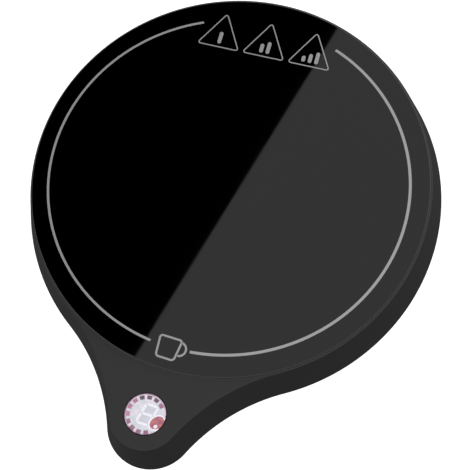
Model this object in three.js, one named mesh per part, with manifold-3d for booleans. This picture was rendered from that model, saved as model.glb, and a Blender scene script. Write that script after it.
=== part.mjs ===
// Electric mug warmer: a black glass hot plate in a round moulded housing, whose front runs out into a
// short tongue that carries a lit push button. Millimetres, +Z up, the tongue points towards -Y.
import * as THREE from 'three';
import { mergeVertices } from 'three/addons/utils/BufferGeometryUtils.js';
import Module from 'manifold-3d';

const wasm = await Module();
wasm.setup();

// Housing: a large circle, a small circle for the tongue, and a hollow fillet on each side between them
const bodyRadius = 52;
const tongueRadius = 9;
const tongueOverhang = 11.7;
const filletRadius = 52.5;
const wallHeight = 12.1;
const wallFlare = 2.5;
const wallThickness = 1.8;
const tongueSkin = 1.5;
const edgeRound = 0.2;

// Heights below the wall
const footDrop = 1.4;
const trayDrop = 0.5;

// Base tray
const trayFloor = 1.5;
const trayRimHeight = 1.6;
const trayRimThickness = 1.2;
const trayFit = 0.25;

// Hot plate, its seat and its gasket
const rimWidth = 0.5;
const plateFit = 0.1;
const plateThickness = 2.5;
const plateProud = 0.85;
const plateChamfer = 0.3;
const ledgeWidth = 3;
const ledgeThickness = 1.3;
const gasketThickness = 0.4;
const gasketMargin = 0.4;

// Rubber feet
const footRadius = 5;
const footTaper = 0.5;
const footEdge = 0.4;
const footPocket = 0.8;
const footFit = 0.15;
const footInset = 10.5;
const footAngles = [40, 140, 218, 322];
const tongueFootRadius = 4;
const tongueFootInset = 3;

// Housing screws and their bosses
const bossRadius = 3;
const bossInset = 4.5;
const bossAngles = [20, 160, 230, 310];
const bossRib = 1.2;
const bossOverlap = 0.5;
const trayBossRadius = 3.7;
const trayBossHeight = 1;
const housingHeadRadius = 2.7;
const housingHeadHeight = 1.3;
const housingShankRadius = 1.4;
const housingShankLength = 6;
const headRoom = 0.35;

// Small screws
const smallHeadRadius = 1.6;
const smallHeadHeight = 1;
const smallShankRadius = 0.9;
const screwFit = 0.08;
const headEdge_share = 0.3;
const holeBelowScrew = 0.3;

// Push button
const buttonRadius = 5.2;
const buttonGap = 0.2;
const buttonInset = 0.25;
const buttonProud = 0.15;
const buttonEdge = 0.25;
const buttonTravel = 0.5;
const flangeRadius = 6.2;
const flangeThickness = 0.8;
const lugWidth = 1.6;
const lugMargin = 0.6;

// Tact switch under the button
const switchOffset = 6;
const switchWidth = 3;
const switchDepth = 2.4;
const switchHeight = 1;
const plungerRadius = 0.65;
const plungerRise = 0.5;
const plungerFit = 0.1;

// Display board and what stands on it
const displayBoardRadius = 7.3;
const displayBoardThickness = 1;
const displayBoardTail = 8.3;
const displayBoardHalfWidth = 6;
const displayPostX = 4.9;
const displayPostInset = 1.5;
const displayPostRadius = 1.8;
const displayPostHeight = 5.1;
const displayScrewLength = 4;
const moduleWidth = 4.6;
const moduleDepth = 6;
const moduleHeight = 1.9;
const moduleChamfer = 0.3;
const guideInner = 3.95;
const guideOuter = 4.6;
const guideHeight = 1.1;
const guideGap = 0.1;
const ledLength = 0.9;
const ledDepth = 0.6;
const ledHeight = 0.6;
const ledAngles = [90, 210, 330];

// Heater stack under the plate
const heaterMargin = 18;
const spreaderMargin = 1;
const spreaderThickness = 1;
const trackThickness = 0.4;
const trackWidth = 1.8;
const trackPitch = 3.2;
const trackInnerRadius = 8;
const micaThickness = 0.4;
const padThickness = 1.5;
const shieldThickness = 0.6;
const shieldMargin = 1.6;
const shieldRimHeight = 2.6;
const leadHoleRadius = 1;
const trackEndDegrees = -97;
const trackEndGap = 14;
const trackTurnSteps = 20;
const trackBendSteps = 8;

// Tabs and posts that hold the heater stack
const tabWidth = 7;
const tabInset = 12;
const tabMargin = 2.6;
const tabAngles = [30, 150, 210, 330];
const shieldPostRadius = 2.2;
const shieldScrewLength = 4.5;

// Temperature sensor and cut-out
const thermistorRadius = 1.3;
const thermistorLength = 3.4;
const thermistorFit = 0.2;
const thermistorGap = 0.05;
const holderRadius = 3.2;
const holderHeight = 1.2;
const cutoutRadius = 1.9;
const cutoutLength = 9;
const cutoutX = -10;
const cutoutInset = 27;
const cutoutLeadRadius = 0.45;
const clipThickness = 0.5;
const clipWidth = 3;
const clipFit = 0.15;

// Control board and what stands on it
const boardInset = 4.1;
const boardDepth = 10.5;
const boardEndMargin = 2.9;
const boardThickness = 1.2;
const boardPostHeight = 1.8;
const boardPostRadius = 2.2;
const boardPostSideInset = 2.4;
const boardPostRearInset = 2.2;
const boardScrewLength = 2.9;
const boardRowInset = 1.4;

// Cord inlet: bore for a flat twin cord
const inletHeight = 3.8;
const boreHalfWidth = 3;
const boreHalfHeight = 1.8;
const grommetNeck = 0.8;
const innerFlange = 0.4;
const outerFlange = 1;
const innerFlangeThickness = 1.3;
const outerFlangeThickness = 1.4;
const grommetFit = 0.1;
const pocketFit = 0.25;
const inletFace = 0.1;
const inletWall = 2.2;
const inletHalfWidth = 6.4;
const inletFloorGap = 0.2;

// Cord clamp and terminal block
const clampInset = 6.4;
const clampDepth = 3.6;
const clampEnd = 1.8;
const clampThickness = 1.5;
const clampPostGap = 0.5;
const clampPostRadius = 1.7;
const clampScrewLength = 4;
const cradleMargin = 0.4;
const cordHalfHeight = 1.7;
const terminalInset = 12;
const terminalWidth = 12;
const terminalDepth = 6.2;
const terminalHeight = 6.2;
const terminalHoleRadius = 1.2;
const terminalHoleDepth = 4;
const terminalWellRadius = 1.3;
const terminalWellDepth = 2;
const terminalPitch = 6;

// Parts on the control board: width, depth and height, the gap between neighbours along the board, and how
// far each one's centre stands behind the board's front edge
const partGap = 1;
const capacitorSize = [9, 5.2, 5];
const capacitorY = 3.6;
const triacSize = [6, 5.4, 2.3];
const triacTab = [5, 2, 0.9];
const triacY = 4;
const chipSize = [4.4, 3.6, 1];
const chipY = 5.2;
const fuseRadius = 1.4;
const fuseCapRadius = 1.6;
const fuseCapLength = 1.4;
const fuseLength = 6;
const fuseY = 3.6;
const connectorSize = [5.8, 2.6, 2.8];
const connectorWall = 0.6;
const connectorDepth = 1.6;

// Flat ribbon between the boards
const ribbonWidth = 4.4;
const ribbonThickness = 0.5;
const ribbonGap = 0.1;
const ribbonRise = 1.4;
const ribbonSag = 0.4;
const ribbonLap = 1.4;

// Inner wires
const leadRadius = 0.6;
const leadGap = 0.1;
const laneInset = 9;
const laneStart = 66;
const laneEnd = -56;
const laneSteps = 14;
const laneEntry = 2.5;
const laneExit = 3.4;
const leadOnBoard = 2.2;
const leadBoardY = 3;
const leadBend = 1.5;
const sensorLeadDrop = 2.6;
const wireSteps = 34;
const shortWireSteps = 14;

// How finely round shapes are divided, and how far a cut runs past what it cuts
const backSteps = 60;
const filletSteps = 8;
const tongueSteps = 14;
const roundSteps = 72;
const stackSteps = 40;
const gasketSteps = 48;
const buttonSteps = 32;
const smallSteps = 16;
const screwSteps = 10;
const wireSides = 5;
const overrun = 1;

// Places that follow from the sizes
const tongueReach = bodyRadius + tongueOverhang;
const trayUnderZ = footDrop;
const trayTopZ = trayUnderZ + trayFloor;
const wallFootZ = trayUnderZ + trayDrop;
const tongueTopZ = wallFootZ + wallHeight;
const ceilingZ = tongueTopZ - tongueSkin;
const plateTopZ = tongueTopZ + plateProud;
const plateUnderZ = plateTopZ - plateThickness;
const ledgeTopZ = plateUnderZ - gasketThickness;
const ledgeUnderZ = ledgeTopZ - ledgeThickness;
const plateRadius = bodyRadius - rimWidth;
const recessRadius = plateRadius + plateFit;
const throatRadius = recessRadius - ledgeWidth;
const trayBossTopZ = trayTopZ + trayBossHeight;
const buttonY = buttonInset - tongueReach;
const flangeUnderZ = ceilingZ - flangeThickness;
const displayUnderZ = trayTopZ + displayPostHeight;
const displayTopZ = displayUnderZ + displayBoardThickness;
const displayTailY = buttonY + displayBoardTail;
const displayPostY = displayTailY - displayPostInset;
const switchY = buttonY - switchOffset;
const switchTopZ = displayTopZ + switchHeight;
const plungerTopZ = switchTopZ + plungerRise;
const heaterRadius = bodyRadius - heaterMargin;
const spreaderUnderZ = plateUnderZ - spreaderThickness;
const trackUnderZ = spreaderUnderZ - trackThickness;
const micaUnderZ = trackUnderZ - micaThickness;
const padUnderZ = micaUnderZ - padThickness;
const shieldUnderZ = padUnderZ - shieldThickness;
const shieldRadius = heaterRadius + shieldMargin;
const tabRadius = bodyRadius - tabInset;
const boardUnderZ = trayTopZ + boardPostHeight;
const boardTopZ = boardUnderZ + boardThickness;
const triacX = connectorSize[0] / 2 + partGap + triacSize[0] / 2;
const capacitorX = -connectorSize[0] / 2 - partGap - capacitorSize[0] / 2;
const fuseX = triacX + triacSize[0] / 2 + partGap + fuseCapRadius;
const boardWidth = 2 * (fuseX + fuseCapRadius + boardEndMargin);
const boardFrontY = boardInset - bodyRadius;
const boardRearY = boardFrontY + boardDepth;
const boardPostX = boardWidth / 2 - boardPostSideInset;
const boardPostY = boardRearY - boardPostRearInset;
const boardRowY = boardRearY - boardRowInset;
const inletZ = trayTopZ + inletHeight;
const inletOuterY = bodyRadius + inletFace;
const inletInnerY = inletOuterY - inletWall;
const clampY = bodyRadius - clampInset;
const cradleHalfWidth = boreHalfWidth + cradleMargin;
const clampPostX = cradleHalfWidth + clampPostGap + clampPostRadius;
const clampLength = 2 * (clampPostX + clampEnd);
const clampUnderZ = inletZ + cordHalfHeight;
const terminalY = bodyRadius - terminalInset;
const laneRadius = bodyRadius - laneInset;
const leadRestZ = trayTopZ + leadRadius + leadGap;
const leadBoardZ = boardTopZ + leadRadius + leadGap;
const cutoutZ = shieldUnderZ - leadGap - cutoutRadius;
const cutoutY = cutoutInset - bodyRadius;
const sensorTopZ = spreaderUnderZ - thermistorGap;
const sensorLowZ = sensorTopZ - thermistorLength;

// Materials
function finish(color, roughness, metalness = 0) {
  return new THREE.MeshStandardMaterial({ color, roughness, metalness });
}

const blackPlastic = finish(0x2e2e2f, 0.55);
const blackGlass = finish(0x030303, 0.05);
const rubber = finish(0x1c1c1c, 0.85);
const silicone = finish(0xb9b4a8, 0.7);
const clearLens = finish(0xe4e2ee, 0.1);
const whitePlastic = finish(0xe6e6e2, 0.4);
const greyPlastic = finish(0x8b8d90, 0.5);
const steel = finish(0xb4b6ba, 0.3, 1);
const aluminium = finish(0xc9cbce, 0.35, 1);
const foil = finish(0xb98a4e, 0.35, 1);
const mica = finish(0xbfae86, 0.5);
const felt = finish(0xe9e5da, 0.95);
const boardGreen = finish(0x1f5a38, 0.45);
const epoxy = finish(0x151515, 0.5);
const epoxyRed = finish(0x9c3023, 0.5);
const ledWhite = finish(0xf3ead2, 0.3);
const wireRed = finish(0xa02a20, 0.5);
const wireBlue = finish(0x2a4f9c, 0.5);
const wireWhite = finish(0xdedcd6, 0.5);

// Turns a closed surface into one whose triangles share their corners
function welded(geometry) {
  geometry.deleteAttribute('normal');
  geometry.deleteAttribute('uv');
  const shared = mergeVertices(geometry);
  const corners = shared.index.array;
  const kept = [];
  for (let i = 0; i < corners.length; i += 3) {
    const [a, b, c] = corners.slice(i, i + 3);
    if (a !== b && b !== c && c !== a) kept.push(a, b, c);
  }
  shared.setIndex(kept);
  return shared;
}

function solid(geometry) {
  const shared = welded(geometry);
  return new wasm.Manifold(new wasm.Mesh({
    numProp: 3,
    vertProperties: new Float32Array(shared.attributes.position.array),
    triVerts: new Uint32Array(shared.index.array),
  }));
}

function surface(body) {
  const mesh = body.getMesh();
  const geometry = new THREE.BufferGeometry();
  geometry.setAttribute('position', new THREE.BufferAttribute(mesh.vertProperties, 3));
  geometry.setIndex(new THREE.BufferAttribute(mesh.triVerts, 1));
  return geometry;
}

function join(first, ...others) {
  return others.reduce((whole, other) => whole.add(other), first);
}

function cut(first, ...others) {
  return others.reduce((rest, other) => rest.subtract(other), first);
}

// Upright cylinder from one height to another
function cylinder(radius, low, high, x = 0, y = 0, steps = smallSteps) {
  const geometry = new THREE.CylinderGeometry(radius, radius, high - low, steps);
  geometry.rotateX(Math.PI / 2);
  geometry.translate(x, y, (low + high) / 2);
  return solid(geometry);
}

// Upright block between two heights
function block(width, depth, low, high, x = 0, y = 0, turn = 0) {
  const geometry = new THREE.BoxGeometry(width, depth, high - low);
  geometry.translate(x, y, (low + high) / 2);
  geometry.rotateZ(turn);
  return solid(geometry);
}

// Body of revolution about an upright axis at x, y, from a profile of [radius, height] points
function revolve(profile, steps = smallSteps, x = 0, y = 0) {
  const geometry = new THREE.LatheGeometry(profile.map(([r, z]) => new THREE.Vector2(r, z)), steps);
  geometry.rotateX(Math.PI / 2);
  geometry.translate(x, y, 0);
  return solid(geometry);
}

// Flat shape pushed upward between two heights
function prism(shape, low, high) {
  const geometry = new THREE.ExtrudeGeometry(shape, { depth: high - low, bevelEnabled: false });
  geometry.translate(0, 0, low);
  return solid(geometry);
}

// Shape drawn in the YZ plane and pushed along X, centred on the given place
function sideways(shape, width, x = 0) {
  const geometry = new THREE.ExtrudeGeometry(shape, { depth: width, bevelEnabled: false });
  geometry.rotateX(Math.PI / 2);
  geometry.rotateZ(Math.PI / 2);
  geometry.translate(x - width / 2, 0, 0);
  return solid(geometry);
}

// Round wire along a smooth path through the given points
function wire(points, radius, steps) {
  const section = new THREE.Shape();
  for (let i = 0; i < wireSides; i++) {
    const angle = (i / wireSides) * 2 * Math.PI;
    const place = [radius * Math.cos(angle), radius * Math.sin(angle)];
    if (i === 0) section.moveTo(...place);
    else section.lineTo(...place);
  }
  section.closePath();
  const path = new THREE.CatmullRomCurve3(points.map((p) => new THREE.Vector3(...p)), false, 'centripetal');
  return solid(new THREE.ExtrudeGeometry(section, { steps, extrudePath: path }));
}

function polar(radius, degrees) {
  const angle = THREE.MathUtils.degToRad(degrees);
  return [radius * Math.cos(angle), radius * Math.sin(angle)];
}

function arc(centreX, centreY, radius, from, to, steps) {
  const points = [];
  for (let i = 0; i < steps; i++) {
    const angle = from + ((to - from) * i) / steps;
    points.push(new THREE.Vector2(centreX + radius * Math.cos(angle), centreY + radius * Math.sin(angle)));
  }
  return points;
}

// Outline of the housing, moved outward by the given offset, counter-clockwise from its right-hand side
function bodyOutline(offset) {
  const toBody = bodyRadius + filletRadius;
  const toTongue = tongueRadius + filletRadius;
  const filletY = -(toBody ** 2 - toTongue ** 2 + tongueReach ** 2) / (2 * tongueReach);
  const filletX = Math.sqrt(toBody ** 2 - filletY ** 2);
  const bodyTurn = Math.atan2(filletY, filletX);
  const tongueTurn = Math.atan2(filletY + tongueReach, filletX);
  const hollow = filletRadius - offset;
  const back = arc(0, 0, bodyRadius + offset, bodyTurn, Math.PI - bodyTurn, backSteps);
  const left = arc(-filletX, filletY, hollow, -bodyTurn, -tongueTurn, filletSteps);
  const front = arc(0, -tongueReach, tongueRadius + offset, -Math.PI - tongueTurn, tongueTurn, tongueSteps);
  const right = arc(filletX, filletY, hollow, Math.PI + tongueTurn, Math.PI + bodyTurn, filletSteps);
  return [...back, ...left, ...front, ...right];
}

// How far the outside of the wall stands outside its top edge at a given height
function flareAt(z) {
  return (wallFlare * (tongueTopZ - z)) / wallHeight;
}

// Closed body through body outlines, each given as [height, offset], from the lowest up
function loft(levels) {
  const rings = levels.map(([z, offset]) => bodyOutline(offset).map((p) => new THREE.Vector3(p.x, p.y, z)));
  const count = rings[0].length;
  const corners = [];
  for (let level = 0; level + 1 < rings.length; level++) {
    for (let i = 0; i < count; i++) {
      const a = level * count + i;
      const b = level * count + ((i + 1) % count);
      corners.push(a, b, b + count, a, b + count, a + count);
    }
  }
  const lid = THREE.ShapeUtils.triangulateShape(bodyOutline(levels[0][1]), []);
  const roof = THREE.ShapeUtils.triangulateShape(bodyOutline(levels.at(-1)[1]), []);
  const top = (rings.length - 1) * count;
  lid.forEach(([a, b, c]) => corners.push(a, c, b));
  roof.forEach(([a, b, c]) => corners.push(top + a, top + b, top + c));
  const geometry = new THREE.BufferGeometry().setFromPoints(rings.flat());
  geometry.setIndex(corners);
  return solid(geometry);
}

// Screw with its head upward, the seat of the head at z = 0
function screw(headRadius, headHeight, shankRadius, length) {
  const edge = headHeight * headEdge_share;
  return revolve([
    [0, -length],
    [shankRadius, shankRadius - length],
    [shankRadius, 0],
    [headRadius, 0],
    [headRadius, headHeight - edge],
    [headRadius - edge, headHeight],
    [0, headHeight],
  ], screwSteps);
}

// Flat-sided slot with round ends, standing in the XZ plane, between two places along Y
function slot(halfWidth, halfHeight, near, far) {
  const flat = halfWidth - halfHeight;
  const shape = new THREE.Shape([
    ...arc(flat, 0, halfHeight, -Math.PI / 2, Math.PI / 2, smallSteps / 2),
    new THREE.Vector2(flat, halfHeight),
    ...arc(-flat, 0, halfHeight, Math.PI / 2, 1.5 * Math.PI, smallSteps / 2),
    new THREE.Vector2(-flat, -halfHeight),
  ]);
  const geometry = new THREE.ExtrudeGeometry(shape, { depth: far - near, bevelEnabled: false });
  geometry.rotateX(Math.PI / 2);
  geometry.translate(0, far, inletZ);
  return solid(geometry);
}

// Hot plate: a glass disc with a bevel round its upper edge
function topPlate() {
  return revolve([
    [0, plateUnderZ],
    [plateRadius, plateUnderZ],
    [plateRadius, plateTopZ - plateChamfer],
    [plateRadius - plateChamfer, plateTopZ],
    [0, plateTopZ],
  ], roundSteps);
}

function plateGasket() {
  const outer = recessRadius - gasketMargin;
  const inner = throatRadius + gasketMargin;
  return revolve([
    [inner, ledgeTopZ],
    [outer, ledgeTopZ],
    [outer, plateUnderZ],
    [inner, plateUnderZ],
    [inner, ledgeTopZ],
  ], gasketSteps);
}

// Upper shell: the moulded housing, open below, with a recess and ledge for the plate, a pocket for the
// button in the tongue, four screw bosses and the flat-faced inlet at the back
function upperShell() {
  const outside = loft([
    [wallFootZ, flareAt(wallFootZ)],
    [tongueTopZ - edgeRound, flareAt(tongueTopZ - edgeRound)],
    [tongueTopZ - edgeRound * (1 - Math.SQRT1_2), -edgeRound * (1 - Math.SQRT1_2)],
    [tongueTopZ, -edgeRound],
  ]);
  const inside = loft([
    [wallFootZ - overrun, flareAt(wallFootZ - overrun) - wallThickness],
    [ledgeUnderZ, flareAt(ledgeUnderZ) - wallThickness],
  ]);
  const tonguePocket = loft([
    [ledgeUnderZ - overrun, flareAt(ledgeUnderZ - overrun) - wallThickness],
    [ceilingZ, flareAt(ceilingZ) - wallThickness],
  ]).subtract(cylinder(recessRadius + wallThickness, 0, plateTopZ, 0, 0, roundSteps));
  const recess = cylinder(recessRadius, ledgeTopZ, plateTopZ, 0, 0, roundSteps);
  const throat = cylinder(throatRadius, 0, plateTopZ, 0, 0, roundSteps);
  const buttonHole = cylinder(buttonRadius + buttonGap, 0, plateTopZ, 0, buttonY, buttonSteps);
  let shell = cut(outside, inside, tonguePocket, recess, throat, buttonHole);

  for (const degrees of bossAngles) {
    const radius = bodyRadius - bossInset;
    const [x, y] = polar(radius, degrees);
    const top = ledgeUnderZ + bossOverlap;
    const ribLength = bossInset + bossRadius / 2;
    const rib = block(
      ribLength, bossRib, trayBossTopZ + overrun, top,
      radius + ribLength / 2, 0, THREE.MathUtils.degToRad(degrees),
    ).intersect(outside);
    const hole = cylinder(
      housingShankRadius + screwFit, 0, trayTopZ + housingShankLength + holeBelowScrew, x, y, screwSteps,
    );
    shell = join(shell, cylinder(bossRadius, trayBossTopZ, top, x, y), rib).subtract(hole);
  }

  const inletLow = trayTopZ + inletFloorGap;
  const inletBlock = block(
    2 * inletHalfWidth, inletWall, inletLow, ledgeUnderZ + bossOverlap, 0, (inletInnerY + inletOuterY) / 2,
  );
  const pocketHalfWidth = boreHalfWidth + grommetNeck + outerFlange + pocketFit;
  const pocketHalfHeight = boreHalfHeight + grommetNeck + outerFlange + pocketFit;
  const pocket = slot(pocketHalfWidth, pocketHalfHeight, inletOuterY, bodyRadius + wallFlare + overrun);
  const neckHalfWidth = boreHalfWidth + grommetNeck + grommetFit;
  const neckHalfHeight = boreHalfHeight + grommetNeck + grommetFit;
  const neck = slot(neckHalfWidth, neckHalfHeight, inletInnerY - overrun, inletOuterY + overrun);
  return cut(shell.add(inletBlock), pocket, neck);
}

// Base tray: the floor of the housing, with a rim inside the wall, pockets for the feet, counterbored
// screw places, and the posts that carry the heater stack, both boards and the cord clamp
function baseTray() {
  const fit = wallThickness + trayFit;
  const rimTopZ = trayTopZ + trayRimHeight;
  let tray = loft([
    [trayUnderZ, flareAt(trayUnderZ) - fit],
    [rimTopZ, flareAt(rimTopZ) - fit],
  ]);
  tray = tray.subtract(loft([
    [trayTopZ, flareAt(trayTopZ) - fit - trayRimThickness],
    [rimTopZ + overrun, flareAt(rimTopZ) - fit - trayRimThickness],
  ]));
  const inletGap = block(
    2 * (inletHalfWidth + pocketFit), 2 * inletWall + wallFlare, trayTopZ, rimTopZ + overrun,
    0, inletOuterY,
  );
  tray = tray.subtract(inletGap);

  for (const degrees of bossAngles) {
    const [x, y] = polar(bodyRadius - bossInset, degrees);
    tray = tray.add(cylinder(trayBossRadius, trayTopZ - bossOverlap, trayBossTopZ, x, y));
    tray = tray.subtract(cylinder(housingHeadRadius + headRoom, 0, trayTopZ, x, y));
    tray = tray.subtract(cylinder(housingShankRadius + screwFit, 0, plateTopZ, x, y, screwSteps));
  }
  for (const [x, y, radius] of footPlaces()) {
    tray = tray.subtract(cylinder(radius + footFit, 0, trayUnderZ + footPocket, x, y));
  }

  const posts = [
    ...tabAngles.map((degrees) => [
      ...polar(tabRadius, degrees), shieldPostRadius, shieldUnderZ,
      shieldUnderZ + shieldThickness - shieldScrewLength,
    ]),
    ...[-1, 1].map((side) => [
      side * boardPostX, boardPostY, boardPostRadius, boardUnderZ, boardTopZ - boardScrewLength,
    ]),
    ...[-1, 1].map((side) => [
      side * displayPostX, displayPostY, displayPostRadius, displayUnderZ, displayTopZ - displayScrewLength,
    ]),
    ...[-1, 1].map((side) => [
      side * clampPostX, clampY, clampPostRadius, clampUnderZ,
      clampUnderZ + clampThickness - clampScrewLength,
    ]),
  ];
  for (const [x, y, radius, top, screwTip] of posts) {
    tray = tray.add(cylinder(radius, trayTopZ - bossOverlap, top, x, y));
    const hole = cylinder(smallShankRadius + screwFit, screwTip - screwFit, plateTopZ, x, y, screwSteps);
    tray = tray.subtract(hole);
  }
  const cradle = block(
    2 * cradleHalfWidth, clampDepth, trayTopZ - bossOverlap, inletZ - cordHalfHeight, 0, clampY,
  );
  return tray.add(cradle);
}

// Where each foot stands, as [x, y, radius]
function footPlaces() {
  const round = footAngles.map((degrees) => [...polar(bodyRadius - footInset, degrees), footRadius]);
  return [...round, [0, tongueFootInset - tongueReach, tongueFootRadius]];
}

function foot([x, y, radius]) {
  const top = trayUnderZ + footPocket;
  return revolve([
    [0, 0],
    [radius - footTaper - footEdge, 0],
    [radius - footTaper, footEdge],
    [radius, trayUnderZ],
    [radius, top],
    [0, top],
  ], smallSteps, x, y);
}

// Button: a clear cap with a flange that stops under the tongue's skin and a leg over the switch
function buttonCap() {
  const top = tongueTopZ + buttonProud;
  const cap = revolve([
    [0, flangeUnderZ],
    [flangeRadius, flangeUnderZ],
    [flangeRadius, ceilingZ],
    [buttonRadius, ceilingZ],
    [buttonRadius, top - buttonEdge],
    [buttonRadius - buttonEdge, top],
    [0, top],
  ], buttonSteps, 0, buttonY);
  const lugReach = switchOffset + lugMargin;
  const lug = block(lugWidth, lugReach, flangeUnderZ, ceilingZ, 0, buttonY - lugReach / 2);
  const leg = block(lugWidth, 2 * lugMargin, plungerTopZ, ceilingZ, 0, switchY);
  return join(cap, lug, leg);
}

function tactSwitch() {
  const body = block(switchWidth, switchDepth, displayTopZ, switchTopZ, 0, switchY);
  return body.subtract(cylinder(plungerRadius + plungerFit, 0, plateTopZ, 0, switchY, screwSteps));
}

function switchPlunger() {
  const low = displayTopZ + buttonTravel + plungerFit;
  return cylinder(plungerRadius, low, plungerTopZ, 0, switchY, screwSteps);
}

function displayBoard() {
  const round = cylinder(displayBoardRadius, displayUnderZ, displayTopZ, 0, buttonY, buttonSteps);
  const tail = block(
    2 * displayBoardHalfWidth, displayBoardTail, displayUnderZ, displayTopZ,
    0, buttonY + displayBoardTail / 2,
  );
  const holes = [-1, 1].map((side) => cylinder(
    smallShankRadius + screwFit, 0, plateTopZ, side * displayPostX, displayPostY, screwSteps,
  ));
  return cut(round.add(tail), ...holes);
}

// Digit display: a low block whose upper edges are bevelled
function displayModule() {
  const halfWidth = moduleWidth / 2 - moduleChamfer;
  const halfDepth = moduleDepth / 2 - moduleChamfer;
  const shape = new THREE.Shape();
  shape.moveTo(-halfWidth, -halfDepth);
  shape.lineTo(halfWidth, -halfDepth);
  shape.lineTo(halfWidth, halfDepth);
  shape.lineTo(-halfWidth, halfDepth);
  shape.closePath();
  const geometry = new THREE.ExtrudeGeometry(shape, {
    depth: moduleHeight - 2 * moduleChamfer,
    bevelThickness: moduleChamfer,
    bevelSize: moduleChamfer,
    bevelSegments: 1,
  });
  geometry.translate(0, buttonY, displayTopZ + moduleChamfer);
  return solid(geometry);
}

// Light guide: a clear ring round the display that spreads the light of the three lamps under it
function lightGuide() {
  const low = displayTopZ + ledHeight + guideGap;
  return revolve([
    [guideInner, low],
    [guideOuter, low],
    [guideOuter, low + guideHeight],
    [guideInner, low + guideHeight],
    [guideInner, low],
  ], buttonSteps, 0, buttonY);
}

function led(degrees) {
  const [x, y] = polar((guideInner + guideOuter) / 2, degrees);
  return block(ledLength, ledDepth, displayTopZ, displayTopZ + ledHeight, x, buttonY + y);
}

// Flat ribbon between the two boards, bent in the YZ plane
function displayRibbon() {
  const start = [boardFrontY - ribbonGap, boardTopZ + ribbonRise];
  const end = [displayTailY - ribbonLap, displayUnderZ - ribbonGap - ribbonThickness / 2];
  const middle = (start[0] + end[0]) / 2;
  const centre = [start, [middle, start[1] - ribbonSag], [middle - ribbonLap, end[1] - ribbonSag], end];
  const curve = new THREE.SplineCurve(centre.map(([y, z]) => new THREE.Vector2(y, z)));
  const path = curve.getPoints(smallSteps / 2);
  const upper = path.map((p) => new THREE.Vector2(p.x, p.y + ribbonThickness / 2));
  const lower = path.map((p) => new THREE.Vector2(p.x, p.y - ribbonThickness / 2));
  return sideways(new THREE.Shape([...lower, ...upper.reverse()]), ribbonWidth);
}

// Heater track: a flat strip in a double spiral that turns back in the middle, so both its ends lie side
// by side at the front. Each arm opens by two pitches a turn, and half circles join them at the centre.
const outerTurns = (heaterRadius - trackWidth / 2 - trackInnerRadius) / (2 * trackPitch);
const innerTurns = outerTurns - 1 / 2 + trackEndGap / 360;
const outerStart = THREE.MathUtils.degToRad(trackEndDegrees) - 2 * Math.PI * outerTurns;
const innerStart = outerStart + Math.PI;

function armPoint(start, turns) {
  const radius = trackInnerRadius + 2 * trackPitch * turns;
  const angle = start + 2 * Math.PI * turns;
  return new THREE.Vector2(radius * Math.cos(angle), radius * Math.sin(angle));
}

function arm(start, turns) {
  const steps = Math.round(turns * trackTurnSteps);
  return Array.from({ length: steps + 1 }, (_, i) => armPoint(start, (turns * i) / steps));
}

const sensorPlace = armPoint(innerStart, 0).multiplyScalar(1 / 2);
const innerEnd = armPoint(innerStart, innerTurns);
const outerEnd = armPoint(outerStart, outerTurns);

function heaterElement() {
  const bend = trackInnerRadius / 2;
  const near = arc(sensorPlace.x, sensorPlace.y, bend, innerStart, innerStart - Math.PI, trackBendSteps);
  const far = arc(-sensorPlace.x, -sensorPlace.y, bend, innerStart, innerStart + Math.PI, trackBendSteps);
  const inward = arm(innerStart, innerTurns).reverse();
  const outward = arm(outerStart, outerTurns);
  const line = [...inward, ...near.slice(1), ...far, ...outward];
  const sides = [-1, 1].map((side) => line.map((point, i) => {
    const before = line[Math.max(i - 1, 0)];
    const after = line[Math.min(i + 1, line.length - 1)];
    const along = after.clone().sub(before).normalize();
    const across = new THREE.Vector2(-along.y, along.x);
    return point.clone().addScaledVector(across, (side * trackWidth) / 2);
  }));
  return prism(new THREE.Shape([...sides[0], ...sides[1].reverse()]), trackUnderZ, spreaderUnderZ);
}

// Holes for the two heater leads and the sensor through whatever lies under the heater
function leadHoles() {
  return [
    cylinder(leadHoleRadius, 0, plateTopZ, innerEnd.x, innerEnd.y, screwSteps),
    cylinder(leadHoleRadius, 0, plateTopZ, outerEnd.x, outerEnd.y, screwSteps),
    cylinder(thermistorRadius + thermistorFit, 0, plateTopZ, sensorPlace.x, sensorPlace.y),
  ];
}

function heatSpreader() {
  return cylinder(heaterRadius + spreaderMargin, spreaderUnderZ, plateUnderZ, 0, 0, stackSteps);
}

function stackDisc(low, high) {
  return cut(cylinder(heaterRadius + spreaderMargin, low, high, 0, 0, stackSteps), ...leadHoles());
}

// Heat shield: a shallow steel dish that presses the stack to the plate, with four screwed tabs
function heatShield() {
  const outer = shieldRadius + shieldThickness;
  const floorZ = shieldUnderZ + shieldThickness;
  const rimZ = shieldUnderZ + shieldRimHeight;
  const dish = revolve([
    [0, shieldUnderZ],
    [outer, shieldUnderZ],
    [outer, rimZ],
    [shieldRadius, rimZ],
    [shieldRadius, floorZ],
    [0, floorZ],
  ], stackSteps);
  const length = tabRadius + tabMargin - shieldRadius;
  const tabs = tabAngles.map((degrees) => block(
    length, tabWidth, shieldUnderZ, floorZ, shieldRadius + length / 2, 0, THREE.MathUtils.degToRad(degrees),
  ));
  const holes = tabAngles.map((degrees) => cylinder(
    smallShankRadius + screwFit, 0, plateTopZ, ...polar(tabRadius, degrees), screwSteps,
  ));
  return cut(join(dish, ...tabs), ...holes, ...leadHoles());
}

function thermistor() {
  return revolve([
    [0, sensorLowZ],
    [thermistorRadius, sensorLowZ],
    [thermistorRadius, sensorTopZ - thermistorRadius / 2],
    [thermistorRadius / 2, sensorTopZ],
    [0, sensorTopZ],
  ], screwSteps, sensorPlace.x, sensorPlace.y);
}

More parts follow.
